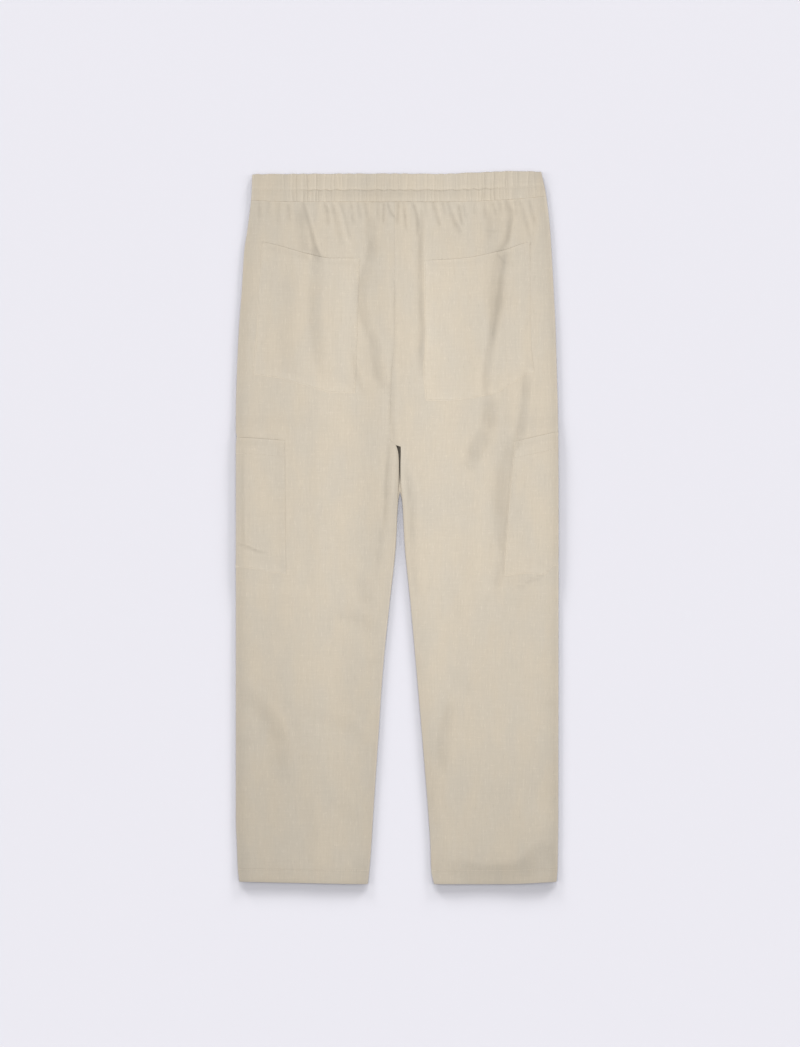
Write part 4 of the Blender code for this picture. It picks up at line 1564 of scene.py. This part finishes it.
@dataclass(frozen=True)
class Linen:
    """Undyed linen: uneven slubby yarns in a plain weave, matt with a slight sheen.

    Attributes:
        colour: Its colour in full light, linear.
        yarn: Width of a yarn, in millimetres.
        slub: How far slubs change its tone.
        roughness: How matt it is.
        sheen: Weight of its sheen.
        apart: How far apart in the cloth two pieces are cut, across and along, in millimetres.
    """

    colour: tuple[float, float, float] = (0.645, 0.574, 0.469)
    yarn: float = 0.75
    slub: float = 0.085
    roughness: float = 0.88
    sheen: float = 0.12
    apart: tuple[float, float] = (310.0, 170.0)

    def material(self, piece: str) -> bpy.types.Material:
        """Makes the material of one piece, with its own stretch of the cloth and its own grain.

        Args:
            piece: The piece's name, which picks its stretch of the cloth.

        Returns:
            The material.
        """
        board = NodeBoard(f"linen of {piece}")
        order = PIECE_ORDER.index(piece)
        turn = math.radians(0.9 * math.sin(2.3 * order))
        place = board.add("TexCoord").outputs["Object"]
        mapping = board.add("Mapping", {
            "Vector": place, "Scale": (1000, 1000, 0), "Rotation": (0, 0, turn),
            "Location": (self.apart[0] * order, self.apart[1] * order, 0),
        }).outputs[0]
        warp = board.noise(mapping, (0.42, 0.026), 2.0)
        weft = board.noise(mapping, (0.034, 0.4), 2.0)
        yarns_up = board.noise(mapping, (1.2, 0.08), 1.0)
        yarns_across = board.noise(mapping, (0.1, 1.2), 1.0)
        mottle = board.noise(mapping, (0.03, 0.012), 3.0)
        slubs_up = board.peaks(board.noise(mapping, (0.62, 0.1), 1.0), 0.62, 0.72)
        slubs_across = board.peaks(board.noise(mapping, (0.11, 0.6), 1.0), 0.65, 0.74)
        gaps = board.peaks(board.noise(mapping, (0.5, 0.08), 1.0), 0.35, 0.26)
        noises = warp, weft, yarns_up, yarns_across, mottle
        tone = self.tone(board, noises, (slubs_up, slubs_across, gaps))
        warm = board.add("MixRGB", {
            "Fac": board.peaks(mottle, 0.3, 0.7), "Color1": (*self.colour, 1),
            "Color2": (self.colour[0] * 1.01, self.colour[1] * 0.99, self.colour[2] * 0.96, 1),
        })
        base = board.add("VectorMath", {0: warm.outputs[0], "Scale": tone}, operation="SCALE")
        relief = self.weave(board, mapping, warp, weft, yarns_up, yarns_across)
        normal = board.add("Bump", {"Strength": 0.5, "Distance": 0.0002, "Height": relief})
        board.feed(board.shader, {
            "Base Color": base.outputs[0], "Roughness": self.roughness, "Sheen Weight": self.sheen,
            "Sheen Roughness": 0.5, "Specular IOR Level": 0.25, "Normal": normal.outputs[0],
        })
        return board.material

    def tone(self, board: NodeBoard, noises: tuple[object, ...], marks: tuple[object, ...]) -> object:
        """How light the cloth is: its place's tone, which holds painted light and shade, with yarns, soft
        streaks and sparse slubs.

        Args:
            board: The material's board.
            noises: Warp, weft, single yarns up and across, and the broad mottle.
            marks: Light slubs up and across, and the thin places between yarns.

        Returns:
            The tone's socket.
        """
        strengths = (self.slub * 1.2, self.slub * 0.8, self.slub * 0.6, self.slub * 0.4, 0.1)
        tone: object = 1.0 - sum(strengths) / 2
        for noise, strength in zip((*noises, *marks), (*strengths, 0.07, 0.06, -0.05)):
            tone = board.math("MULTIPLY_ADD", noise, strength, tone)
        # The tone attribute holds the painted light and shade laid on each piece.
        own = board.add("Attribute", attribute_name="tone").outputs["Fac"]
        return board.math("MULTIPLY", tone, own)

    def weave(
        self, board: NodeBoard, place: object, warp: object, weft: object, up: object, across: object
    ) -> object:
        """Height of the plain weave: yarns pass over and under, and slubs stand up."""
        parts = board.add("SeparateXYZ", {0: place}).outputs
        bent_x = board.math("MULTIPLY_ADD", across, 0.5, parts["X"])
        bent_y = board.math("MULTIPLY_ADD", up, 0.5, parts["Y"])
        wave_x = board.math("SINE", board.math("MULTIPLY", bent_x, math.pi / self.yarn))
        wave_y = board.math("SINE", board.math("MULTIPLY", bent_y, math.pi / self.yarn))
        crossing = board.math("MULTIPLY", wave_x, wave_y)
        slubs = board.math("MULTIPLY_ADD", warp, 1.4, board.math("MULTIPLY", weft, 0.6))
        return board.math("MULTIPLY_ADD", crossing, 0.2, slubs)


@dataclass(frozen=True)
class Thread:
    """Matt sewing thread, close to the linen in colour."""

    colour: tuple[float, float, float] = (0.745, 0.67, 0.555)
    roughness: float = 0.7

    def material(self) -> bpy.types.Material:
        """Makes the thread's material, with a fine twist and slight changes of tone."""
        board = NodeBoard("sewing thread")
        place = board.add("TexCoord").outputs["Object"]
        mapping = board.add("Mapping", {"Vector": place, "Scale": (1000, 1000, 1000)}).outputs[0]
        twist = board.add("TexNoise", {"Vector": mapping, "Scale": 2.2, "Detail": 1.0}).outputs["Fac"]
        tone = board.math("MULTIPLY_ADD", twist, 0.14, 0.93)
        base = board.add("VectorMath", {0: self.colour, "Scale": tone}, operation="SCALE")
        normal = board.add("Bump", {"Strength": 0.4, "Distance": 0.0001, "Height": twist})
        board.feed(board.shader, {
            "Base Color": base.outputs[0], "Roughness": self.roughness, "Normal": normal.outputs[0],
        })
        return board.material


PIECE_ORDER = (
    "back_left", "back_right", "front_left", "front_right", "waistband_back", "waistband_front",
    "back_pocket_left", "back_pocket_right", "cargo_pocket_left", "cargo_pocket_right",
)


class Lights(Enum):
    """What a light falls on. Those on the floor make the garment's soft shadow there."""

    FLOOR = "INCLUDE"
    CLOTH = "EXCLUDE"

    def receivers(self, floor: bpy.types.Object) -> bpy.types.Collection:
        """The group of what is lit: the floor alone, or all but the floor."""
        group = bpy.data.collections.new(f"lit {self.name.lower()}")
        group.objects.link(floor)
        group.collection_objects[0].light_linking.link_state = self.value
        return group


@dataclass(frozen=True)
class SoftLight:
    """A far soft light.

    Attributes:
        name: Its name.
        toward: Compass direction that it shines from, in degrees from +Y toward +X.
        height: Degrees above the floor.
        spread: How wide it looks, in degrees.
        strength: Its strength.
        falls_on: What it lights.
    """

    name: str
    toward: float
    height: float
    spread: float
    strength: float
    falls_on: Lights = Lights.FLOOR

    def hang(self, floor: bpy.types.Object) -> None:
        """Adds the light to the scene."""
        data = bpy.data.lights.new(self.name, "SUN")
        data.energy = self.strength
        data.angle = math.radians(self.spread)
        light = bpy.data.objects.new(self.name, data)
        turn = math.radians(self.toward)
        rise = math.radians(self.height)
        aim = Vector((math.sin(turn) * math.cos(rise), math.cos(turn) * math.cos(rise), math.sin(rise)))
        light.rotation_euler = aim.to_track_quat("Z", "Y").to_euler()
        light.light_linking.receiver_collection = self.falls_on.receivers(floor)
        bpy.context.scene.collection.objects.link(light)


@dataclass(frozen=True)
class Studio:
    """The pale floor, the soft light and the camera straight above.

    Attributes:
        frame_height: What the picture's height, its longer side, shows at the cloth, in metres.
        centre: The camera's x and y.
        lens: The camera's focal length, and sensor the size of its sensor, in millimetres.
        floor_colour: The floor's colour, linear.
        floor_reach: Half the floor's width.
        surround: Colour of the light from all round, and surround_strength its strength.
        lights: The far lights.
    """

    frame_height: float = 1.5077
    centre: tuple[float, float] = (0.0040, 0.0059)
    lens: float = 100.0
    sensor: float = 36.0
    floor_colour: tuple[float, float, float] = (0.251, 0.247, 0.264)
    floor_reach: float = 14.0
    surround: tuple[float, float, float] = (0.985, 0.995, 1.015)
    surround_strength: float = 0.66
    lights: tuple[SoftLight, ...] = (
        SoftLight("key", 222, 57, 38, 1.36, Lights.CLOTH),
        SoftLight("overhead", 0, 90, 100, 2.1),
        SoftLight("low left", -84, 22, 26, 3.0),
        SoftLight("low middle left", -28, 10, 9, 6.4),
        SoftLight("low middle right", 28, 10, 9, 6.4),
        SoftLight("high middle", 0, 19, 14, 5.5),
        SoftLight("low right", 84, 22, 26, 2.85),
    )

    def set_up(self) -> None:
        """Adds the floor, the surround, the lights and the camera."""
        floor = self.lay_floor()
        for light in self.lights:
            light.hang(floor)
        world = bpy.data.worlds.new("studio")
        world.use_nodes = True
        glow = world.node_tree.nodes["Background"]
        glow.inputs["Color"].default_value = (*self.surround, 1)
        glow.inputs["Strength"].default_value = self.surround_strength
        scene = bpy.context.scene
        scene.world = world
        scene.view_settings.view_transform = "Standard"
        self.set_camera()

    def lay_floor(self) -> bpy.types.Object:
        """Lays a plain pale floor just under the cloth, and returns it."""
        board = NodeBoard("studio floor")
        place = board.add("TexCoord").outputs["Object"]
        grain = board.add("TexNoise", {"Vector": place, "Scale": 3.0, "Detail": 2.0}).outputs["Fac"]
        tone = board.math("MULTIPLY_ADD", grain, 0.006, 0.997)
        base = board.add("VectorMath", {0: self.floor_colour, "Scale": tone}, operation="SCALE")
        board.feed(board.shader, {
            "Base Color": base.outputs[0], "Roughness": 0.9, "Specular IOR Level": 0.15,
        })
        mesh = bmesh.new()
        bmesh.ops.create_grid(mesh, x_segments=8, y_segments=8, size=self.floor_reach)
        bmesh.ops.translate(mesh, verts=mesh.verts[:], vec=(0, 0, -0.0003))
        floor = finished("studio_floor", mesh, board.material)
        floor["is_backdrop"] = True
        return floor

    def set_camera(self) -> None:
        """Hangs the camera straight above, with +Y up in the picture."""
        data = bpy.data.cameras.new("camera")
        data.lens = self.lens
        data.sensor_width = self.sensor
        camera = bpy.data.objects.new("camera", data)
        above = self.frame_height * self.lens / self.sensor + LEVELS.back_top * MM
        camera.location = (*self.centre, above)
        camera.rotation_euler = Euler((0, 0, 0))
        bpy.context.scene.collection.objects.link(camera)
        bpy.context.scene.camera = camera


def back_pockets() -> tuple[BackPocket, BackPocket]:
    """The two patch pockets, with the outlines that the seat shows."""
    left = BackPocket(
        Leg.LEFT,
        top=Curve(((-194, 102), (-170, 107.5), (-144, 115), (-119, 121.5), (-94, 125.5), (-54, 125.5))),
        bottom=Curve(((-207, 293), (-168, 299), (-144, 305.5), (-119, 313), (-94, 319.5), (-60.5, 320))),
        gape_at=-118,
        gape=0.35,
    )
    right = BackPocket(
        Leg.RIGHT,
        top=Curve((
            (38.5, 129), (69, 127.5), (103, 124.5), (138, 117.5), (160, 112), (178, 105.5), (192, 102),
        )),
        bottom=Curve((
            (41, 331), (73, 331), (101, 328), (125, 324), (143, 320), (165.5, 305.5), (185, 295), (197, 289),
        )),
        left=Curve(((129, 38.5), (260, 39.5), (282, 36.8), (331, 41))),
        right=Curve(((102, 192), (240, 192.5), (289, 197))),
        gape_at=152,
        gape=0.45,
        lighter=0.015,
    )
    return left, right


def cargo_pockets() -> tuple[CargoPocket, CargoPocket]:
    """The two side pockets, with the outlines that the back shows."""
    left = CargoPocket(
        Leg.LEFT,
        top=Curve(((-250, 383), (-230, 383.5), (-162, 388))),
        bottom=Curve(((-250, 571.5), (-228, 571.5), (-196, 575), (-184, 578.5), (-160, 580))),
        hem_mark=0.14,
    )
    right = CargoPocket(
        Leg.RIGHT,
        top=Curve(((168, 390), (189, 385), (217, 378.5), (229, 376.5), (250, 376.5))),
        bottom=Curve(((154, 584), (186, 580), (212, 581.5), (227, 569), (250, 569))),
        inner=Curve(((390, 168), (415, 167), (513, 158.5), (584, 154))),
        hem_mark=0.1,
    )
    return left, right


def main() -> None:
    """Builds the trousers piece by piece, then the studio."""
    linen = Linen()
    band_linen = Linen(colour=(0.643, 0.571, 0.465))
    thread = Thread().material()
    for leg in Leg:
        back, front = Panel(leg, is_back=True), Panel(leg, is_back=False)
        back.build(linen)
        front.build(linen)
        Stitching(f"hem_stitching_{leg.word}", back.seams(), back.slot).build(thread)
    back_band, front_band = Waistband(is_back=True), Waistband(is_back=False)
    back_band.build(band_linen)
    front_band.build(band_linen)
    Stitching("waistband_stitching", back_band.seams(), back_band.slot).build(thread)
    for pocket in (*back_pockets(), *cargo_pockets()):
        pocket.build(linen)
        Stitching(f"{pocket.name}_stitching", pocket.seams(), pocket.slot).build(thread)
    Studio().set_up()


def keep_sizes() -> None:
    """Reads the box of the solids and the box of the dressed object side by side, and keeps neither."""
    boxes = {"cad": cad_box, "visual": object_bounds()}
    {name: [list(corner) for corner in box] for name, box in boxes.items()}


if __name__ == "__main__":
    main()
    keep_sizes()
